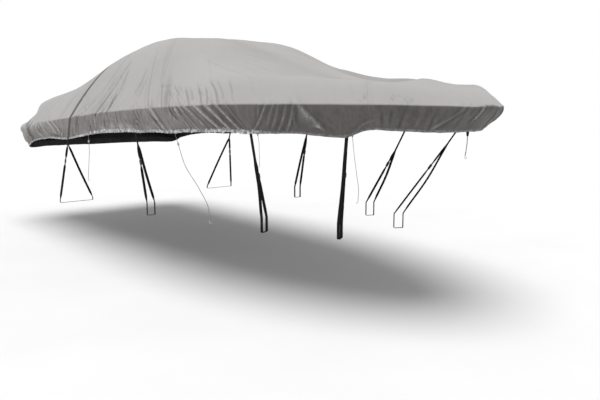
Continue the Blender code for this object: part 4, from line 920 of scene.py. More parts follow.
# Run, and how crumpled the casing is there
HEM_FULL = ((2.9, 0.0), (3.4, 0.9), (3.65, 1.7), (4.2, 1.7), (4.4, 0.7), (4.75, 0.6), (5.0, 1.0),
            (5.9, 1.0), (6.2, 0.5))
HEM_ROWS = 9
SKIRT_ROWS = 19
SKIRT_CROWDING = 1.08       # above 1 crowds them toward the rub rail
CASING_AT = 0.86            # about where they end and the closer rows of the hem begin
SEAM_GAP = 0.0005           # between two panels
CLOTH = 0.0011              # thickness of the visible cloth
SEED = 20
LEAN_REACH = 0.30           # how far from a leaning seam the columns lean with it
LEAN_DROPS = (-0.02, 0.24)          # drops between which they come to lean
END_EASE = 0.10             # both sides become one shape this near the stern and the stem
SPINE_EASE = 0.08           # and this near the spine, as a share of the reach


def fine_columns():
    """Runs of every column, which of them reach the top, and where each panel starts and ends."""
    ends = [0.0] + [run_at(seam.rail_x) for seam in SEAMS] + [STEM_RUN]
    top, spans = [], []
    for k, (start, end) in enumerate(zip(ends, ends[1:])):
        seam_before, seam_after = k > 0, k < len(SEAMS)
        low = start + SEAM_COLUMNS[-1] if seam_before else start
        high = end - SEAM_COLUMNS[-1] if seam_after else end
        runs = list(np.linspace(low, high, max(2, round((high - low) / TOP_COLUMN)) + 1))
        if seam_before:
            runs = [start + x for x in SEAM_COLUMNS[:-1]] + runs
        if seam_after:
            runs += [end - x for x in SEAM_COLUMNS[:-1]][::-1]
        spans.append((len(top), len(top) + len(runs) - 1))
        top += runs[:-1] if seam_after else runs
    runs, reaches_top, index = [], [], []
    for run, following in zip(top, top[1:] + top[-1:]):
        index.append(len(runs))
        runs.append(run)
        reaches_top.append(True)
        if following - run > HALVED_GAP:
            runs.append((run + following) / 2)
            reaches_top.append(False)
    spans = [(index[a], index[b]) for a, b in spans]
    return np.array(runs), np.array(reaches_top), spans


def row_reaches():
    """Reach of each row, from the spine to the hem, and which of them is the rub rail's."""
    top = np.linspace(0, 1, TOP_ROWS + 1)[:-2] ** TOP_CROWDING
    skirt = 1 + np.linspace(0, CASING_AT, SKIRT_ROWS + 1)[1:] ** SKIRT_CROWDING
    hem = np.linspace(skirt[-1], 2.0, HEM_ROWS + 1)[1:]
    return np.concatenate([top, RAIL_ROWS, skirt, hem]), len(top) + RAIL_ROWS.index(1.0)


def grid_normals(points):
    """Unit normals of a grid of points, outward on the starboard side."""
    return unit(np.cross(np.gradient(points, axis=0), np.gradient(points, axis=1)))


# How much lower the hem hangs than the section table says, along the run
HemPoint = namedtuple("HemPoint", "run lower")
HEM_LINE = (
    HemPoint(0.00, 0.000), HemPoint(2.60, 0.000), HemPoint(2.82, 0.006), HemPoint(3.00, 0.002),
    HemPoint(3.30, 0.006), HemPoint(3.70, 0.011), HemPoint(4.20, 0.013), HemPoint(4.60, 0.013),
    HemPoint(4.80, 0.003), HemPoint(5.00, 0.009), HemPoint(5.15, 0.004), HemPoint(5.50, 0.002),
    HemPoint(5.80, 0.006), HemPoint(5.98, 0.013), HemPoint(6.15, 0.011), HemPoint(6.30, 0.003),
    HemPoint(6.50, -0.005), HemPoint(6.65, 0.002), HemPoint(6.78, 0.012), HemPoint(6.85, 0.012),
    HemPoint(6.92, -0.006), HemPoint(6.99, -0.024), HemPoint(7.07, -0.026), HemPoint(7.20, -0.012),
    HemPoint(7.40, -0.010), HemPoint(7.60, -0.003), HemPoint(7.95, -0.003))


def hem_ruffle(runs, chance, least, most):
    """Uneven ruffles along the run, about -1 to 1, with a pitch between least and most."""
    total = np.zeros_like(runs)
    run = 0.0
    while run < STEM_RUN:
        pitch = chance.uniform(least, most)
        height = chance.uniform(0.4, 1.0)
        skew = chance.uniform(0.30, 0.50)
        total += height * np.exp(-np.abs((runs - run - pitch * skew) / (pitch * 0.30)) ** 1.7)
        run += pitch
    return (2.0 * total - 1.0)[None, :]


def cloth_grid(runs, reaches):
    """Run and drop of every point; the columns lean beside a seam that leans."""
    drops = np.where(reaches > 1, (reaches - 1) * SKIRT_GIRTH, (reaches - 1) * TOP_GIRTH)
    drops = np.broadcast_to(drops[:, None], (len(reaches), len(runs))).copy()
    grid = np.broadcast_to(runs, drops.shape).copy()
    for seam in SEAMS:
        beside = np.exp(-((runs - run_at(seam.rail_x)) / LEAN_REACH) ** 2)
        grid += seam.lean * smoothstep(*LEAN_DROPS, drops) * beside
    return grid, drops


# A crease this deep takes the full painted shade. A ridge takes a painted highlight from that
# height on, strongest where it stands higher by RIDGE.
CREASE = 0.0035
RIDGE = 0.009
CREASE_SHADE = 0.36
RIDGE_HIGHLIGHT = 0.62
CREASE_COLUMNS = 3          # columns from a crease to the cloth that its depth is taken from
STERN_RUNS = (1.5, 2.5)     # runs over which the stern's softer, lighter painted shade of the skirt gives way
STERN_SHADE_DROPS = (-0.05, 0.12)  # drops over which the stern's skirt takes on its painted shade
STERN_SHADE_SHARE = 0.80           # and how much of that painted shade it takes
FORE_SHADE_RUNS = (4.7, 6.6)     # runs over which the skirt's painted shade deepens toward the bow


def painted_light_marks(side, grid, drops, relief, on_skirt):
    """Painted light of one side, with some sun fading: shade on the skirt and toward the bow, shade
    in the creases, highlights on the ridges, and shade and highlights where the tables say.
    """
    beside = 0.5 * (np.roll(relief, CREASE_COLUMNS, axis=1)
                    + np.roll(relief, -CREASE_COLUMNS, axis=1))
    valley = np.clip((beside - relief) / CREASE, 0, 1)
    ridge = np.clip((relief - CREASE) / RIDGE, 0, 1)
    # painted shade (above 0) and painted highlight (below 0) from the tables
    shade = mounds(PATCHES, side, grid, drops)
    for streak in STREAKS[side]:
        lay_fold(shade, grid, drops, streak)
    at_stern = 1 - smoothstep(*STERN_RUNS, grid)
    soft_edge = smoothstep(*STERN_SHADE_DROPS, drops)
    return {
        # 1 on the top and 0 on the skirt: sun fading of the top and painted shade of the skirt,
        #                                  softer and lighter at the stern
        "fade": 1 - on_skirt * (1 - at_stern) - STERN_SHADE_SHARE * soft_edge * at_stern,
        # where the skirt takes its painted shade toward the bow
        "fresh": smoothstep(*FORE_SHADE_RUNS, grid),
        # painted shade in the creases and where the tables place it
        "painted_shade": (CREASE_SHADE * valley + shade.clip(0, 1)).clip(0, 1),
        # painted highlight on the skirt's ridges and where the tables place it
        "painted_highlight": (RIDGE_HIGHLIGHT * ridge * on_skirt - shade.clip(-1, 0)).clip(0, 0.8),
    }


SKIRT_DROPS = (-0.004, 0.010)       # drops over which the top turns into the skirt
TOP_SWELL = 0.35            # share of the swell that the taut top keeps
ELASTIC_ENDS = (6.02, 6.26)         # runs over which the elastic ends
ELASTIC_LOST = 0.90         # share of its effect that is lost there
RUFFLE_PITCH = (0.020, 0.042)       # least and most, of the small ruffles of the hem
RAGGED_PITCH = (0.030, 0.110)       # and of the broad ones
PLAIN_HEM_BULGE = 0.0016    # where the elastic has ended
GROOVE_HEIGHT = -0.0022     # line of stitches above the casing
GROOVE_WIDTH = 0.0040
EDGE_WAVE = 0.0032          # swing of the hem's edge with its ruffles
EDGE_WAVE_REACH = 0.03      # how far above the edge that swing reaches
HEM_RAGGED = 0.0016         # unevenness of the hem's height


def build_side(side, grid, drops, reaches, chance):
    """Lift and downward move of one side's grid, with the marks that its material reads."""
    runs = grid[-1]
    down = np.clip(reaches - 1, 0, 1)[:, None]
    on_skirt = smoothstep(*SKIRT_DROPS, drops)
    folds, small = np.zeros_like(drops), np.zeros_like(drops)
    for fold in FOLDS[side]:
        lay_fold(folds, grid, drops, fold)
    for family in FAMILIES:
        for fold in family_folds(family, chance):
            lay_fold(small, grid, drops, fold)
    swell = waves(grid, drops, chance, SWELL) * (TOP_SWELL + (1 - TOP_SWELL) * on_skirt)
    ripple = waves(grid, drops, chance, RIPPLE)
    # the hem's elastic casing, crumpled as far as the crown and plain beyond it
    elastic = 1 - ELASTIC_LOST * smoothstep(*ELASTIC_ENDS, grid)
    above_hem = (1 - down) * (column("rail_z", grid) - column("hem_z", grid))
    ruffle = hem_ruffle(runs, chance, *RUFFLE_PITCH)
    ragged = hem_ruffle(runs, chance, *RAGGED_PITCH)
    full = np.interp(grid, *np.transpose(HEM_FULL))
    tall = HEM_TALL * (0.60 + 0.16 * elastic + 0.34 * full * elastic * (1 + 0.7 * ragged))
    in_casing = above_hem < tall
    roll = np.sin(np.pi * np.clip(above_hem / tall, 0, 1) ** 0.8) ** 0.8 * in_casing
    casing = HEM_BULGE * roll * elastic * (0.85 + 0.30 * full) * (1 + 0.50 * ruffle + 0.25 * ragged)
    casing += PLAIN_HEM_BULGE * roll * (1 - elastic)
    crumple = waves(grid, drops, chance, CRUMPLE)
    casing += crumple * elastic * smoothstep(0.0, 0.3, roll) * (0.5 + 0.5 * full)
    stitched = GROOVE_HEIGHT * np.exp(-((above_hem - tall) / GROOVE_WIDTH) ** 2)
    edge_wave = EDGE_WAVE * ruffle * elastic * np.exp(-above_hem / EDGE_WAVE_REACH)
    lift = folds + small * (1 - 0.5 * in_casing) + swell + ripple + casing + stitched
    lift += edge_wave + mounds(BULGES, side, grid, drops)
    # the hem's own height
    stops, levels = np.array(HEM_LINE).T
    sag = smooth_curve(stops, levels, runs)
    sag += waves(runs, np.zeros_like(runs), chance, SAG)
    lower = (sag + HEM_RAGGED * ruffle * elastic) * down ** 1.5
    lower -= mounds(RAISES, side, grid, drops)
    marks = painted_light_marks(side, grid, drops, folds + small, on_skirt)
    # where the casing takes its painted highlight
    marks["hem"] = (smoothstep(0.0, 0.25, roll) * (0.12 + 0.88 * elastic)
                    * (0.70 + 0.22 * ruffle + 0.14 * ragged)).clip(0, 1)
    return lift, lower, marks


SEAM_REACH = 0.12           # how far along the rub rail a seam is felt
LAP_HEIGHT = 0.0016
LAP_EDGE = (0.013, 0.009)   # distances from the seam over which the lap comes down again
TURNED_EDGE = 0.0008        # height of the edge turned under on the other side
PUCKER_PITCH = (0.031, 0.047)       # of the two waves that the puckers are made of
PUCKER_HEIGHT = 0.0011
SEAM_HOLLOW = -0.0050       # how far the tight thread draws the cloth in
TAPE_SHADE_EDGE = (0.048, 0.030)  # distances over which the dark of the tape and its painted shade gives way


def lay_seams(runs, points, lift, marks, chance):
    """Raises the lap beside each seam, puckers the cloth there and marks its tape, widened by
    painted shade.
    """
    along = lengths_along(points)
    across = np.full(lift.shape, 1.0)
    tape_and_shade = np.zeros(lift.shape)
    for seam in SEAMS:
        centre = run_at(seam.rail_x)
        middle = int(np.argmin(np.abs(runs - centre)))
        near = np.abs(runs - centre) < SEAM_REACH
        gap = np.linalg.norm(points[:, near] - points[:, middle][:, None], axis=2)
        signed = gap * np.sign(runs[near] - centre)
        across[:, near] = np.where(gap < np.abs(across[:, near]), signed, across[:, near])
        lap = LAP_HEIGHT * smoothstep(*LAP_EDGE, signed) * smoothstep(-0.0015, 0.0, signed)
        lap += TURNED_EDGE * smoothstep(-0.006, -0.002, signed) * (signed < 0)
        phase = chance.uniform(0, TWO_PI)
        ripple = (np.sin(TWO_PI * along[:, near] / PUCKER_PITCH[0] + phase)
                  + 0.6 * np.sin(TWO_PI * along[:, near] / PUCKER_PITCH[1] + 2 * phase))
        lap += PUCKER_HEIGHT * seam.pucker * ripple * np.exp(-(gap / 0.020) ** 2)
        lap += SEAM_HOLLOW * seam.pucker * np.exp(-(gap / 0.011) ** 2)
        lift[:, near] += lap
        tape_and_shade[:, near] = np.maximum(tape_and_shade[:, near],
                                   seam.mark * smoothstep(*TAPE_SHADE_EDGE, np.abs(signed)))
    marks["tape_and_shade"] = tape_and_shade
    for name, first in (("seam", across), ("cloth", np.broadcast_to(runs, along.shape))):
        marks[name] = np.stack([first, along, np.zeros_like(along)], axis=2)


def shared_middle(own, other, weight):
    """own where weight is 1, easing to the mean of both sides at the centreline."""
    return own * weight + (own + other) / 2 * (1 - weight)


def cover_grids():
    """Points and marks of both sides of the whole cover, with the columns and rows used."""
    chance = np.random.default_rng(SEED)
    runs, reaches_top, spans = fine_columns()
    reaches, rail_row = row_reaches()
    grid, drops = cloth_grid(runs, reaches)
    base = cover_point(grid, np.broadcast_to(reaches[:, None], grid.shape))
    made = {}
    for side in SIDES:
        lift, lower, marks = build_side(side, grid, drops, reaches, chance)
        lay_seams(runs, base, lift, marks, chance)
        made[side] = {"lift": lift, "lower": lower, **marks}
    to_edge = np.minimum(smoothstep(0, END_EASE, runs), smoothstep(0, END_EASE, STEM_RUN - runs))
    weight = np.minimum(smoothstep(0, SPINE_EASE, reaches)[:, None], to_edge)
    centre = weight <= 0
    normals = grid_normals(base)
    normals[centre, 1] = 0.0
    normals = unit(normals)
    grids = {}
    for side, other in zip(SIDES, SIDES[::-1]):
        marks = {key: shared_middle(value, made[other][key],
                                    weight[..., None] if value.ndim == 3 else weight)
                 for key, value in made[side].items()}
        points = base + normals * marks.pop("lift")[..., None]
        points[..., 2] -= marks.pop("lower")
        points[centre, 1] = 0.0
        grids[side] = (points * FLIP[side] - ORIGIN, marks)
    return grids, centre, reaches_top, spans, rail_row


def cells(grid):
    """The four corners of every cell of a grid of vertex numbers."""
    corners = (grid[:-1, :-1], grid[1:, :-1], grid[1:, 1:], grid[:-1, 1:])
    return np.stack(corners, -1).reshape(-1, 4)


def panel_mesh(name, grids, centre, reaches_top, span, rail_row, materials):
    """One panel, both sides, with coarse columns on the top and fine ones on the skirt."""
    columns = np.arange(span[0], span[1] + 1)
    on_centre = centre[:, columns]
    used = np.ones(on_centre.shape, bool)
    used[:rail_row] &= reaches_top[columns]
    tops = np.flatnonzero(reaches_top[columns])
    points, marks, quads, fives = [], {}, [], []
    grid, count = np.full(used.shape, -1), 0
    for side, (side_points, side_marks) in grids.items():
        # the port side takes the starboard side's vertices on the centreline
        fresh = used & ~on_centre if side == "port" else used
        grid[fresh] = count + np.arange(fresh.sum())
        count += int(fresh.sum())
        points.append(side_points[:, columns][fresh])
        for key, value in side_marks.items():
            marks.setdefault(key, []).append(value[:, columns][fresh])
        four = [cells(grid[:rail_row][:, tops]), cells(grid[rail_row:])]
        five = []
        high, low = grid[rail_row - 1], grid[rail_row]
        for a, b in zip(tops, tops[1:]):
            if b - a == 1:
                four.append(np.array([[high[a], low[a], low[b], high[b]]]))
            else:
                five.append([high[a], low[a], low[a + 1], low[b], high[b]])
        turn = -1 if side == "port" else 1
        quads.append(np.concatenate(four)[:, ::turn])
        fives.append(np.array(five, int).reshape(-1, 5)[:, ::turn])
    quads, fives = np.concatenate(quads), np.concatenate(fives)
    mesh = bpy.data.meshes.new(name)
    vertices = np.concatenate(points)
    mesh.vertices.add(len(vertices))
    mesh.vertices.foreach_set("co", vertices.astype(np.float32).ravel())
    loops = np.concatenate([quads.ravel(), fives.ravel()])
    starts = np.concatenate([4 * np.arange(len(quads)),
                             4 * len(quads) + 5 * np.arange(len(fives))])
    mesh.loops.add(len(loops))
    mesh.loops.foreach_set("vertex_index", loops.astype(np.int32))
    mesh.polygons.add(len(starts))
    mesh.polygons.foreach_set("loop_start", starts.astype(np.int32))
    mesh.update(calc_edges=True)
    mesh.validate()
    for material in materials:
        mesh.materials.append(material)
    for key, values in marks.items():
        add_attribute(mesh, key, np.concatenate(values))
    mesh.shade_smooth()
    item = link(name, mesh)
    thick = item.modifiers.new("thickness", "SOLIDIFY")
    for key, value in (("thickness", CLOTH), ("offset", -1.0), ("use_even_offset", False),
                       ("material_offset", 1), ("material_offset_rim", 0)):
        setattr(thick, key, value)
    return item


def build_cover():
    grids, centre, reaches_top, spans, rail_row = cover_grids()
    looks = (cloth_material(), lining_material())
    pieces = []
    for k, (node, span) in enumerate(zip(PANELS, spans)):
        own = {side: (points.copy(), marks) for side, (points, marks) in grids.items()}
        for points, _ in own.values():
            for at, inward, is_seam in ((span[0], 1, k > 0), (span[1], -1, k < len(SEAMS))):
                if is_seam:
                    step = unit(points[:, at + inward] - points[:, at])
                    points[:, at] += step * SEAM_GAP / 2
        item = panel_mesh(f"{node}_cloth", own, centre, reaches_top, span, rail_row, looks)
        pieces.append(declare(item, node))
    return pieces


# ---------------------------------------------------------------- straps
WEBBING = 0.025
WEBBING_THICKNESS = 0.0018
STRAP_COLUMN = 0.060        # width of the flat column of cloth each strap is sewn behind
STRAP_SEWN = 0.034          # height of strap that lies behind the hem
STRAP_BELOW = 0.003         # how far it runs straight on below the hem
STRAP_CLEARANCE = 0.0006    # between the hem and the strap sewn behind it
STRAP_APART = 0.0004        # half the gap between a strap's two layers at the hem
SKIRT_LAST_STEP = 0.80      # where the CAD's last row of cloth begins, down the skirt
# Tie-down straps. hem_run is where the strap is sewn to the hem, fork how far below the hem its
# two runs part, and the rest where it goes round the trailer: the middle of the rail's top, its
# width and height, and how far it turns inboard. buckle_drop is measured from the fork.
# twist_deg is how far the long runs twist to face forward: they are flat only at the fork, at
# their buckle and on the rail. The run without a buckle swings out a little.
Strap = namedtuple(
    "Strap",
    "hem_run fork rail_x rail_y rail_z width height turn_deg buckle_run buckle_drop twist_deg swing")
STRAPS = (
    Strap(2.80, 0.06, 1.00, 1.005, 0.450, 0.39, 0.030, 0.0, "outer", 0.20, 66.0, 0.004),
    Strap(4.32, 0.12, 2.78, 0.940, 0.610, 0.08, 0.125, 0.0, "outer", 0.19, 60.0, 0.004),
    Strap(6.00, 0.24, 4.24, 0.640, 0.625, 0.08, 0.125, 23.0, "inner", 0.16, 28.0, 0.012),
    Strap(6.85, 0.12, 4.86, 0.350, 0.630, 0.08, 0.125, 29.0, "inner", 0.25, 14.0, 0.016),
)
CORNER = 0.008              # radius where a strap turns round the rail
CORNER_STEPS = 6
# places in a strap's path where its two long runs leave the fork and reach the rail
STRAP_RUNS = {"outer": (1, 2), "inner": (-7, -8)}
TWIST_START = (0.010, 0.085)        # distance from an end where the twist begins and is whole
BUCKLE_FLAT = (0.028, 0.085)        # and from the middle of the buckle
LONG_RUN = 0.25             # a run longer than this twists
WEBBING_STEP = 0.012        # from point to point of the webbing


def hem_frame(run, side):
    """Middle of the hem's edge at a run, with the ways out, along and up the cloth there."""
    half = STRAP_COLUMN / 2
    low = [cover_point(run + step, 2.0) for step in (-half, half)]
    high = [cover_point(run + step, 1.0 + SKIRT_LAST_STEP) for step in (-half, half)]
    edge = (low[0] + low[1]) / 2
    along = unit(low[1] - low[0])
    out = unit(np.cross(along, (high[0] + high[1]) / 2 - edge))
    up = np.cross(out, along)
    flip = FLIP[side]
    return edge * flip, out * flip, along * flip, up * flip


def rounded(path):
    """Flat path through corners given as out, up and whether the corner is rounded."""
    result = []
    for k, (out, up, bend) in enumerate(path):
        here = np.array([out, up])
        if not bend:
            result.append(here)
            continue
        start, end = (here + unit(np.array(path[other][:2]) - here) * CORNER
                      for other in (k - 1, k + 1))
        for t in np.arange(CORNER_STEPS + 1) / CORNER_STEPS:
            result.append((1 - t)**2 * start + 2 * t * (1 - t) * here + t**2 * end)
    return result


def strap_path(strap, side):
    """Centre line of one strap and the way of its width, from the hem round the rail and back."""
    edge, out, along, up = hem_frame(strap.hem_run, side)
    turn = math.radians(strap.turn_deg)
    rail_along = np.array([math.cos(turn), -MIRROR[side] * math.sin(turn), 0.0])
    rail_out = np.array([math.sin(turn), MIRROR[side] * math.cos(turn), 0.0])
    rail = np.array([strap.rail_x, MIRROR[side] * strap.rail_y, strap.rail_z])
    half = WEBBING_THICKNESS / 2
    pitch = half + STRAP_APART
    top = edge - out * (CAD_SHEET + STRAP_CLEARANCE + pitch + half)
    lead = top - up * STRAP_BELOW
    foot = rail[2] - strap.height - half
    side_out = strap.width / 2 + half
    corners = [(side_out, rail[2], False), (side_out, foot, True), (-side_out, foot, True),
               (-side_out, rail[2], False)]
    fork = lead + unit(rail - lead) * strap.fork
    points = [lead + out * pitch, fork + rail_out * pitch]
    points += [np.array([rail[0], rail[1], level]) + rail_out * out_by
               for out_by, level in rounded(corners)]
    points += [fork - rail_out * pitch, lead - out * pitch]
    near_fork = along * 0.8 + rail_along * 0.2
    widths = [along, near_fork] + [rail_along] * (len(points) - 4) + [near_fork, along]
    for out_by, level in ((-pitch, 0.4), (-pitch, 1.0), (0.0, 1.0), (pitch, 1.0), (pitch, 0.4)):
        crown = pitch if out_by == 0.0 else 0.0
        points.append(top + up * (level * STRAP_SEWN + crown) + out * out_by)
        widths.append(along)
    return np.array(points), np.array(widths)


# Cross-section of the webbing, as shares of its width and of its thickness
BAND_OUTLINE = (
    (-0.500, -0.20), (-0.470, -0.50), (-0.25, -0.50), (0.25, -0.50), (0.470, -0.50),
    (0.500, -0.20), (0.500, 0.20), (0.470, 0.50), (0.25, 0.50), (-0.25, 0.50),
    (-0.470, 0.50), (-0.500, 0.20))


def band_object(name, points, across, width, material):
    """Webbing round a closed path, with rounded edges. across gives the way of its width."""
    ahead, behind = np.roll(points, -1, axis=0), np.roll(points, 1, axis=0)
    tangent = unit(unit(ahead - points) + unit(points - behind))
    across = unit(across - tangent * np.sum(across * tangent, axis=1, keepdims=True))
    through = np.cross(tangent, across)
    vertices, marks = [], []
    for point, wide, thick, length in zip(points, across, through, lengths_along(points)):
        for a, b in BAND_OUTLINE:
            vertices.append(point + wide * (a * width) + thick * (b * WEBBING_THICKNESS) - ORIGIN)
            marks.append((a * width, length, 0.0))
    rings = ring_numbers(len(points), len(BAND_OUTLINE))
    item = mesh_object(name, vertices, skin(rings), material, smooth_angle=50)
    add_attribute(item.data, "cloth", marks)
    return item


def twisted_path(strap, side):
    """A strap's path with more points, its long runs twisting to face forward."""
    points, across = strap_path(strap, side)
    twist = math.radians(strap.twist_deg)
    path, ways = [], []
    for k, (start, way_here) in enumerate(zip(points, across)):
        end, way_there = (table[(k + 1) % len(points)] for table in (points, across))
        gap = float(np.linalg.norm(end - start))
        ahead = unit(end - start)
        upward = ahead if ahead[2] > 0 else -ahead
        long_run = gap > LONG_RUN and (k == 1 or ahead[2] > 0)
        count = max(1, round(gap / WEBBING_STEP))
        for step in range(count):
            t = step / count
            place = start + (end - start) * t
            way = way_here * (1 - t) + way_there * t
            if long_run:
                free = smoothstep(*TWIST_START, gap * t) * smoothstep(*TWIST_START, gap * (1 - t))
                swing = strap.swing * math.sin(math.pi * t) ** 2
                if (k == 1) == (strap.buckle_run == "outer"):
                    from_fork = gap * t if k == 1 else gap * (1 - t)
                    free *= smoothstep(*BUCKLE_FLAT, abs(from_fork - strap.buckle_drop))
                    swing = 0.0
                place = place + unit(np.cross(way, ahead)) * swing
                way = way * math.cos(twist * free) + np.cross(upward, way) * math.sin(twist * free)
            path.append(place)
            ways.append(way)
    return np.array(path), np.array(ways)


def build_straps(webbing, plastic):
    for side in SIDES:
        for number, strap in enumerate(STRAPS, start=1):
            band = band_object(f"webbing_{side}_{number}", *twisted_path(strap, side), WEBBING,
                               webbing)
            declare(band, f"strap_{side}_{number}")
            build_buckle(f"clip_{side}_{number}", f"buckle_{side}_{number}", strap, side, plastic)


BUCKLE_SLOT = (0.0131, 0.0020)      # half width and half depth of the way through the buckle
BUCKLE_SLOT_LEVELS = (0.0240, 0.0, -0.0240)
# Half width, half depth and level along the length of the buckle's moulded shell
BUCKLE_SHELL = (
    (0.0140, 0.0030, -0.0240), (0.0158, 0.0042, -0.0234), (0.0165, 0.0046, -0.0200),
    (0.0165, 0.0046, -0.0150), (0.0158, 0.0048, -0.0138), (0.0176, 0.0052, -0.0100),
    (0.0180, 0.0055, -0.0040), (0.0172, 0.0054, -0.0015), (0.0146, 0.0050, 0.0010),
    (0.0144, 0.0050, 0.0080), (0.0170, 0.0050, 0.0105), (0.0172, 0.0047, 0.0170),
    (0.0166, 0.0044, 0.0200), (0.0158, 0.0040, 0.0234), (0.0140, 0.0030, 0.0240))
SHELL_CORNER = 4            # points round each corner of the shell
SHELL_ROUND = 0.0026        # radius of those corners
SLOT_ROUND = 0.0012         # and of the slot's
# Ribs on both faces of the shell: from and to across, along, and outward from the middle
Rib = namedtuple("Rib", "left right low high root top")
BUCKLE_RIBS = (
    # ladder bars that grip the webbing
    Rib(-0.0132, 0.0132, -0.0224, -0.0206, 0.00396, 0.005456),
    Rib(-0.0132, 0.0132, -0.0189, -0.0171, 0.00396, 0.005456),
    Rib(-0.0125, 0.0125, 0.0196, 0.0216, 0.00396, 0.005456),
    # ribs along the socket
    Rib(-0.0105, -0.0085, -0.0115, -0.0015, 0.0044, 0.0062),
    Rib(-0.0010, 0.0010, -0.0115, -0.0015, 0.0044, 0.0062),
    Rib(0.0085, 0.0105, -0.0115, -0.0015, 0.0044, 0.0062),
    # the two spring prongs in their windows
    Rib(0.0140, 0.0166, 0.0010, 0.0080, 0.00154, 0.0036),
    Rib(-0.0166, -0.0140, 0.0010, 0.0080, 0.00154, 0.0036),
)
RIB_CHAMFER = 0.16          # share of a rib's width and length that its ends slope in
RIB_FACES = ((0, 3, 2, 1), (4, 5, 6, 7), (0, 1, 5, 4), (1, 2, 6, 5), (2, 3, 7, 6), (3, 0, 4, 7))


def shell_ring(half_width, half_depth, corner):
    """Outline of the shell at one level, as across and through."""
    corner = min(corner, half_depth * 0.9)
    return [(a * (half_width - corner) + corner * math.cos(angle),
             b * (half_depth - corner) + corner * math.sin(angle))
            for a, b, start in ((1, -1, -90), (1, 1, 0), (-1, 1, 90), (-1, -1, 180))
            for angle in np.radians(start + 90 * np.arange(SHELL_CORNER) / (SHELL_CORNER - 1))]


def build_buckle(name, node, strap, side, material):
    """Side-release buckle round one run of its strap: ribbed shell, side windows and end bars."""
    points, widths = strap_path(strap, side)
    begin, end = STRAP_RUNS[strap.buckle_run]
    upper, lower = points[begin], points[end]
    down = unit(lower - upper)
    share = strap.buckle_drop / np.linalg.norm(lower - upper)
    centre = upper + (lower - upper) * share
    across = unit(widths[begin] * (1 - share) + widths[end] * share)
    across = unit(across - down * np.dot(across, down))
    through = np.cross(down, across)
    rings = [(half_width, half_depth, SHELL_ROUND, level)
             for half_width, half_depth, level in BUCKLE_SHELL]
    rings += [(*BUCKLE_SLOT, SLOT_ROUND, level) for level in BUCKLE_SLOT_LEVELS]
    shape = [(a, b, level) for *ring, level in rings for a, b in shell_ring(*ring)]
    faces = skin(ring_numbers(len(rings), 4 * SHELL_CORNER))
    for way in (1, -1):
        for left, right, low, high, root, top in BUCKLE_RIBS:
            in_across, in_along = (right - left) * RIB_CHAMFER, (high - low) * RIB_CHAMFER
            faces += [[len(shape) + k for k in face[::way]] for face in RIB_FACES]
            for b, da, dl in ((root * way, 0.0, 0.0), (top * way, in_across, in_along)):
                shape += [(left + da, b, low + dl), (right - da, b, low + dl),
                          (right - da, b, high - dl), (left + da, b, high - dl)]
    vertices = [centre + across * a + through * b + down * level - ORIGIN
                for a, b, level in shape]
    item = mesh_object(name, vertices, faces, material, smooth_angle=40)
    declare(item, node)


# ---------------------------------------------------------------- cords
CORD_DIAMETER = 0.005
BOW_CORD_DIAMETER = 0.006
CORD_GAP = 0.0003           # between a cord's end and its hook
HEM_GAP = 0.0014            # between the hem and the top of a cord
# Thin cords: where each leaves the hem, how far down its lock sits, and the points of its route
Cord = namedtuple("Cord", "hem_run lock_drop route")
CORDS = (
    Cord(3.36, 0.070, ((1.770, 1.130, 1.080), (1.763, 1.140, 0.920), (1.755, 1.150, 0.775))),
    Cord(5.06, 0.105, ((3.62, 1.030, 1.05), (3.74, 0.955, 0.83), (3.81, 0.915, 0.67),
                       (3.81, 0.910, 0.57))),
)
CORD_STEP = 0.0125          # from point to point of the visible cord
CAD_CORD_STEP = 0.030       # and of the CAD's cord, whose end says which way the hook points
HOOK_WIRE = 0.002
HOOK_RADIUS = 0.010
HOOK_TURN = math.pi * 1.15
HOOK_STEPS = 24
HOOK_TIP = 0.8              # radius of its cut end, as a share of the wire's
# Level and radius along the crimped ferrule and the shank, the radius as a share of the wire's
HOOK_STEM = (
    (0.0, 1.9), (0.0006, 2.2), (0.003, 2.2), (0.0036, 1.95), (0.0050, 1.95), (0.0056, 2.2),
    (0.0075, 2.2), (0.0081, 1.95), (0.0095, 1.95), (0.0101, 2.2), (0.0116, 2.2), (0.0122, 1.7),
    (0.0125, 1.0), (0.017, 1.0), (0.022, 1.0))
TAB_WIDTH = 0.018           # of the webbing loop at the stem
TAB_DROP = 0.034
TAB_BREADTH = 0.012         # of its webbing
BOW_CORD_END = (5.775, 0.0, 1.215)
BOW_CORD_SAG = 0.003        # how far its middle hangs forward
BOW_CORD_STEP = 0.0075
CAD_BOW_STEP = 0.018


def smooth_route(points, spacing):
    """Points at even spacing along a smooth curve through the route's own points."""
    points = np.asarray(points, float)
    chord = lengths_along(points)
    fine = np.linspace(0, chord[-1], 400)
    curve = np.stack([smooth_curve(chord, axis, fine) for axis in points.T], axis=1)
    length = lengths_along(curve)
    even = np.linspace(0, length[-1], max(4, round(length[-1] / spacing)) + 1)
    return np.stack([np.interp(even, length, axis) for axis in curve.T], axis=1), float(length[-1])


def tube_object(name, points, diameter, material, radii=None):
    data = bpy.data.curves.new(name, "CURVE")
    for key, value in (("dimensions", "3D"), ("bevel_depth", diameter / 2),
                       ("bevel_resolution", 4), ("use_fill_caps", True)):
        setattr(data, key, value)
    spline = data.splines.new("POLY")
    spline.points.add(len(points) - 1)
    for place, point, radius in zip(spline.points, points, radii or [1.0] * len(points)):
        place.co = (*map(float, point - ORIGIN), 1.0)
        place.radius = radius
    data.materials.append(material)
    return link(name, data)


def cord_route(cord, side):
    """Route of a thin cord from just under the hem to its hook, with its lock's place and way."""
    edge, out, _, _ = hem_frame(cord.hem_run, side)
    start = edge - out * (CAD_SHEET / 2) - np.array([0.0, 0.0, HEM_GAP])
    rest = [np.array([x, MIRROR[side] * y, z]) for x, y, z in cord.route]
    way = unit(rest[0] - start)
    lock = start + way * cord.lock_drop
    return np.array([start, lock] + rest), lock, way


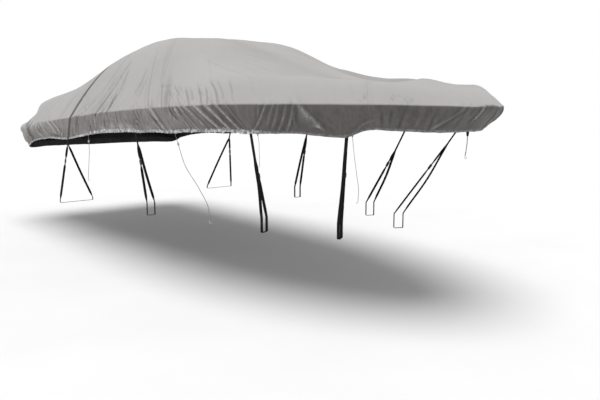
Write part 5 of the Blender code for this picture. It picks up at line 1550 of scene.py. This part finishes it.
# Radius and level of the cord lock's turned barrel, from its lower rim up and back down the bore
LOCK_PROFILE = (
    (0.0033, -0.0130), (0.0070, -0.0130), (0.0080, -0.0120), (0.0088, -0.0095),
    (0.0090, -0.0050), (0.0084, -0.0042), (0.0084, -0.0030), (0.0090, -0.0022),
    (0.0090, 0.0022), (0.0084, 0.0030), (0.0084, 0.0042), (0.0090, 0.0050),
    (0.0088, 0.0080), (0.0076, 0.0088), (0.0066, 0.0092), (0.0066, 0.0122),
    (0.0058, 0.0130), (0.0033, 0.0130))
LOCK_STEPS = 28
BUTTON_RADIUS = 0.0068      # the body, wider than this, has four flats


def build_lock(name, node, centre, way, material):
    """Barrel cord lock: grooved body with a press button at its upper end."""
    first = unit(np.cross(way, [1.0, 0.0, 0.0]))
    second = np.cross(way, first)
    vertices = []
    for k in range(LOCK_STEPS):
        angle = TWO_PI * k / LOCK_STEPS
        spoke = first * math.cos(angle) + second * math.sin(angle)
        flat = 1.0 - 0.05 * abs(math.cos(2 * angle)) ** 8
        for radius, level in LOCK_PROFILE:
            wide = radius * (flat if radius > BUTTON_RADIUS else 1.0)
            vertices.append(centre + spoke * wide - way * level - ORIGIN)
    faces = skin(ring_numbers(LOCK_STEPS, len(LOCK_PROFILE)))
    item = mesh_object(name, vertices, faces, material, smooth_angle=32)
    return declare(item, node)


def build_hook(name, node, cord_points, side, material):
    """Wire hook: a crimped ferrule that takes the cord's end, a shank and a turn inboard."""
    inboard = np.array([0.0, -MIRROR[side], 0.0])
    way = unit(cord_points[-1] - cord_points[-2])
    start = cord_points[-1] + way * CORD_GAP
    points = [start + way * level for level, _ in HOOK_STEM]
    radii = [radius for _, radius in HOOK_STEM]
    centre = points[-1] + inboard * HOOK_RADIUS
    for step in range(1, HOOK_STEPS + 1):
        angle = HOOK_TURN * step / HOOK_STEPS
        points.append(centre - inboard * (HOOK_RADIUS * math.cos(angle))
                      + way * (HOOK_RADIUS * math.sin(angle)))
        radii.append(1.0 if step < HOOK_STEPS else HOOK_TIP)
    return declare(tube_object(name, points, 2 * HOOK_WIRE, material, radii), node)


def build_cords(cord_look, lock_look, metal):
    for side in SIDES:
        for number, cord in enumerate(CORDS, start=1):
            route, lock_at, way = cord_route(cord, side)
            points, length = smooth_route(route, CORD_STEP)
            line = tube_object(f"tie_cord_{side}_{number}", points, CORD_DIAMETER, cord_look)
            declare(line, f"cord_{side}_{number}")
            lock = build_lock(f"tie_lock_{side}_{number}", f"cord_lock_{side}_{number}", lock_at,
                              way, lock_look)
            hook = build_hook(f"tie_hook_{side}_{number}", f"hook_{side}_{number}",
                              smooth_route(route, CAD_CORD_STEP)[0], side, metal)


def build_bow_tie(webbing, cord_look, metal):
    """Webbing loop sewn under the stem of the cover, with the cord that hangs from it."""
    edge = cover_point(STEM_RUN, 2.0)
    edge[1] = 0.0
    half = WEBBING_THICKNESS / 2
    top = edge - np.array([TAB_BREADTH / 4, 0.0, CORD_GAP])
    half_outline = [(TAB_WIDTH / 2, 0.0), (TAB_WIDTH / 2 - 0.001, -0.010),
                    (TAB_WIDTH / 4 + 0.001, -TAB_DROP + 0.010), (TAB_WIDTH / 6, -TAB_DROP + 0.002)]
    outline = [(0.0, -y, z) for y, z in half_outline] + [(0.0, 0.0, -TAB_DROP)]
    outline += [(0.0, y, z) for y, z in half_outline[::-1]]
    turned, _ = smooth_route(outline, 0.003)
    points = top + turned - np.array([0.0, 0.0, half])
    closing = points[-1] + np.linspace(0.15, 0.85, 6)[:, None] * (points[0] - points[-1])
    points = np.vstack([points, closing])
    loop = band_object("bow_webbing", points, np.tile([1.0, 0.0, 0.0], (len(points), 1)),
                       TAB_BREADTH, webbing)
    declare(loop, "bow_loop")
    start = top - np.array([0.0, 0.0, TAB_DROP + 2 * half + CORD_GAP])
    end = np.array(BOW_CORD_END)
    ends = [start, (start + end) / 2 + np.array([BOW_CORD_SAG, 0.0, 0.0]), end]
    route, length = smooth_route(ends, BOW_CORD_STEP)
    line = tube_object("bow_tie_cord", route, BOW_CORD_DIAMETER, cord_look)
    declare(line, "bow_cord")
    hook = build_hook("bow_tie_hook", "bow_hook", smooth_route(ends, CAD_BOW_STEP)[0],
                      "starboard", metal)


# ---------------------------------------------------------------- floor and light
FLOOR_Z = -float(ORIGIN[2])
FLOOR_RADIUS = 300.0
FLOOR_SIDES = 96
SUN_STRENGTH = 3.3
SUN_ELEVATION = 80.0
SUN_AZIMUTH = -60.0         # from +x, seen from above
SUN_SPREAD = 45.0
SKY_HORIZON = 1.0
SKY_ZENITH = 0.30
SKY_FADE = (0.25, 0.75)     # how far up it dims from one to the other, 1 being overhead


def build_floor():
    """Pale floor on the ground that the cover stands over."""
    graph = Graph("floor", 0.9)
    grain = graph.blotches(graph.place(), 1.2, 3, 0.5, 0.3, 0.7)
    colour = graph.mix(grain, (0.66, 0.66, 0.66), (0.68, 0.68, 0.68))
    normal = graph.bump(graph.noise(graph.place(), 60, 2, 0.5), 0.0005, 0.3)
    graph.finish(colour, 0.9, normal)
    turns = [TWO_PI * k / FLOOR_SIDES for k in range(FLOOR_SIDES)]
    ring = [(FLOOR_RADIUS * math.cos(turn), FLOOR_RADIUS * math.sin(turn), FLOOR_Z)
            for turn in turns]
    mesh_object("floor", ring, [list(range(FLOOR_SIDES))], graph.material)


def build_sky():
    """White sky, bright at the horizon and dimmer overhead."""
    world = bpy.data.worlds.new("world")
    bpy.context.scene.world = world
    bpy.context.scene.view_settings.view_transform = "Standard"
    world.use_nodes = True
    tree = world.node_tree
    sky = tree.nodes["Background"]
    sky.inputs["Color"].default_value = (1.0, 1.0, 1.0, 1.0)
    direction = tree.nodes.new("ShaderNodeTexCoord")
    parts = tree.nodes.new("ShaderNodeSeparateXYZ")
    ramp = tree.nodes.new("ShaderNodeMapRange")
    ramp.interpolation_type = "SMOOTHSTEP"
    for key, value in (("From Min", SKY_FADE[0]), ("From Max", SKY_FADE[1]),
                       ("To Min", SKY_HORIZON), ("To Max", SKY_ZENITH)):
        ramp.inputs[key].default_value = value
    for start, end in ((direction.outputs["Generated"], parts.inputs[0]),
                       (parts.outputs["Z"], ramp.inputs["Value"]),
                       (ramp.outputs["Result"], sky.inputs["Strength"])):
        tree.links.new(start, end)


def build_sun():
    """High and very broad sun, for the soft shadows of a bright overcast day."""
    data = bpy.data.lights.new("overhead", "SUN")
    data.energy = SUN_STRENGTH
    data.angle = math.radians(SUN_SPREAD)
    sun = link("overhead", data)
    sun.rotation_euler = (0.0, math.radians(90 - SUN_ELEVATION), math.radians(SUN_AZIMUTH))


# Width, length and area of the flat cloth that each panel is cut from
Cut = namedtuple("Cut", "width length area")


build_camera()
webbing_look = webbing_material()
black_plastic = moulded_material("black_plastic", (0.012, 0.012, 0.013), (0.05, 0.05, 0.052), 0.42)
grey_plastic = moulded_material("grey_plastic", (0.44, 0.44, 0.45), (0.56, 0.56, 0.57), 0.46)
cord_look = cord_material()
wire_look = wire_material()
build_cords(cord_look, grey_plastic, wire_look)
build_bow_tie(webbing_look, cord_look, wire_look)
build_straps(webbing_look, black_plastic)
build_cover()
build_floor()
build_sky()
build_sun()
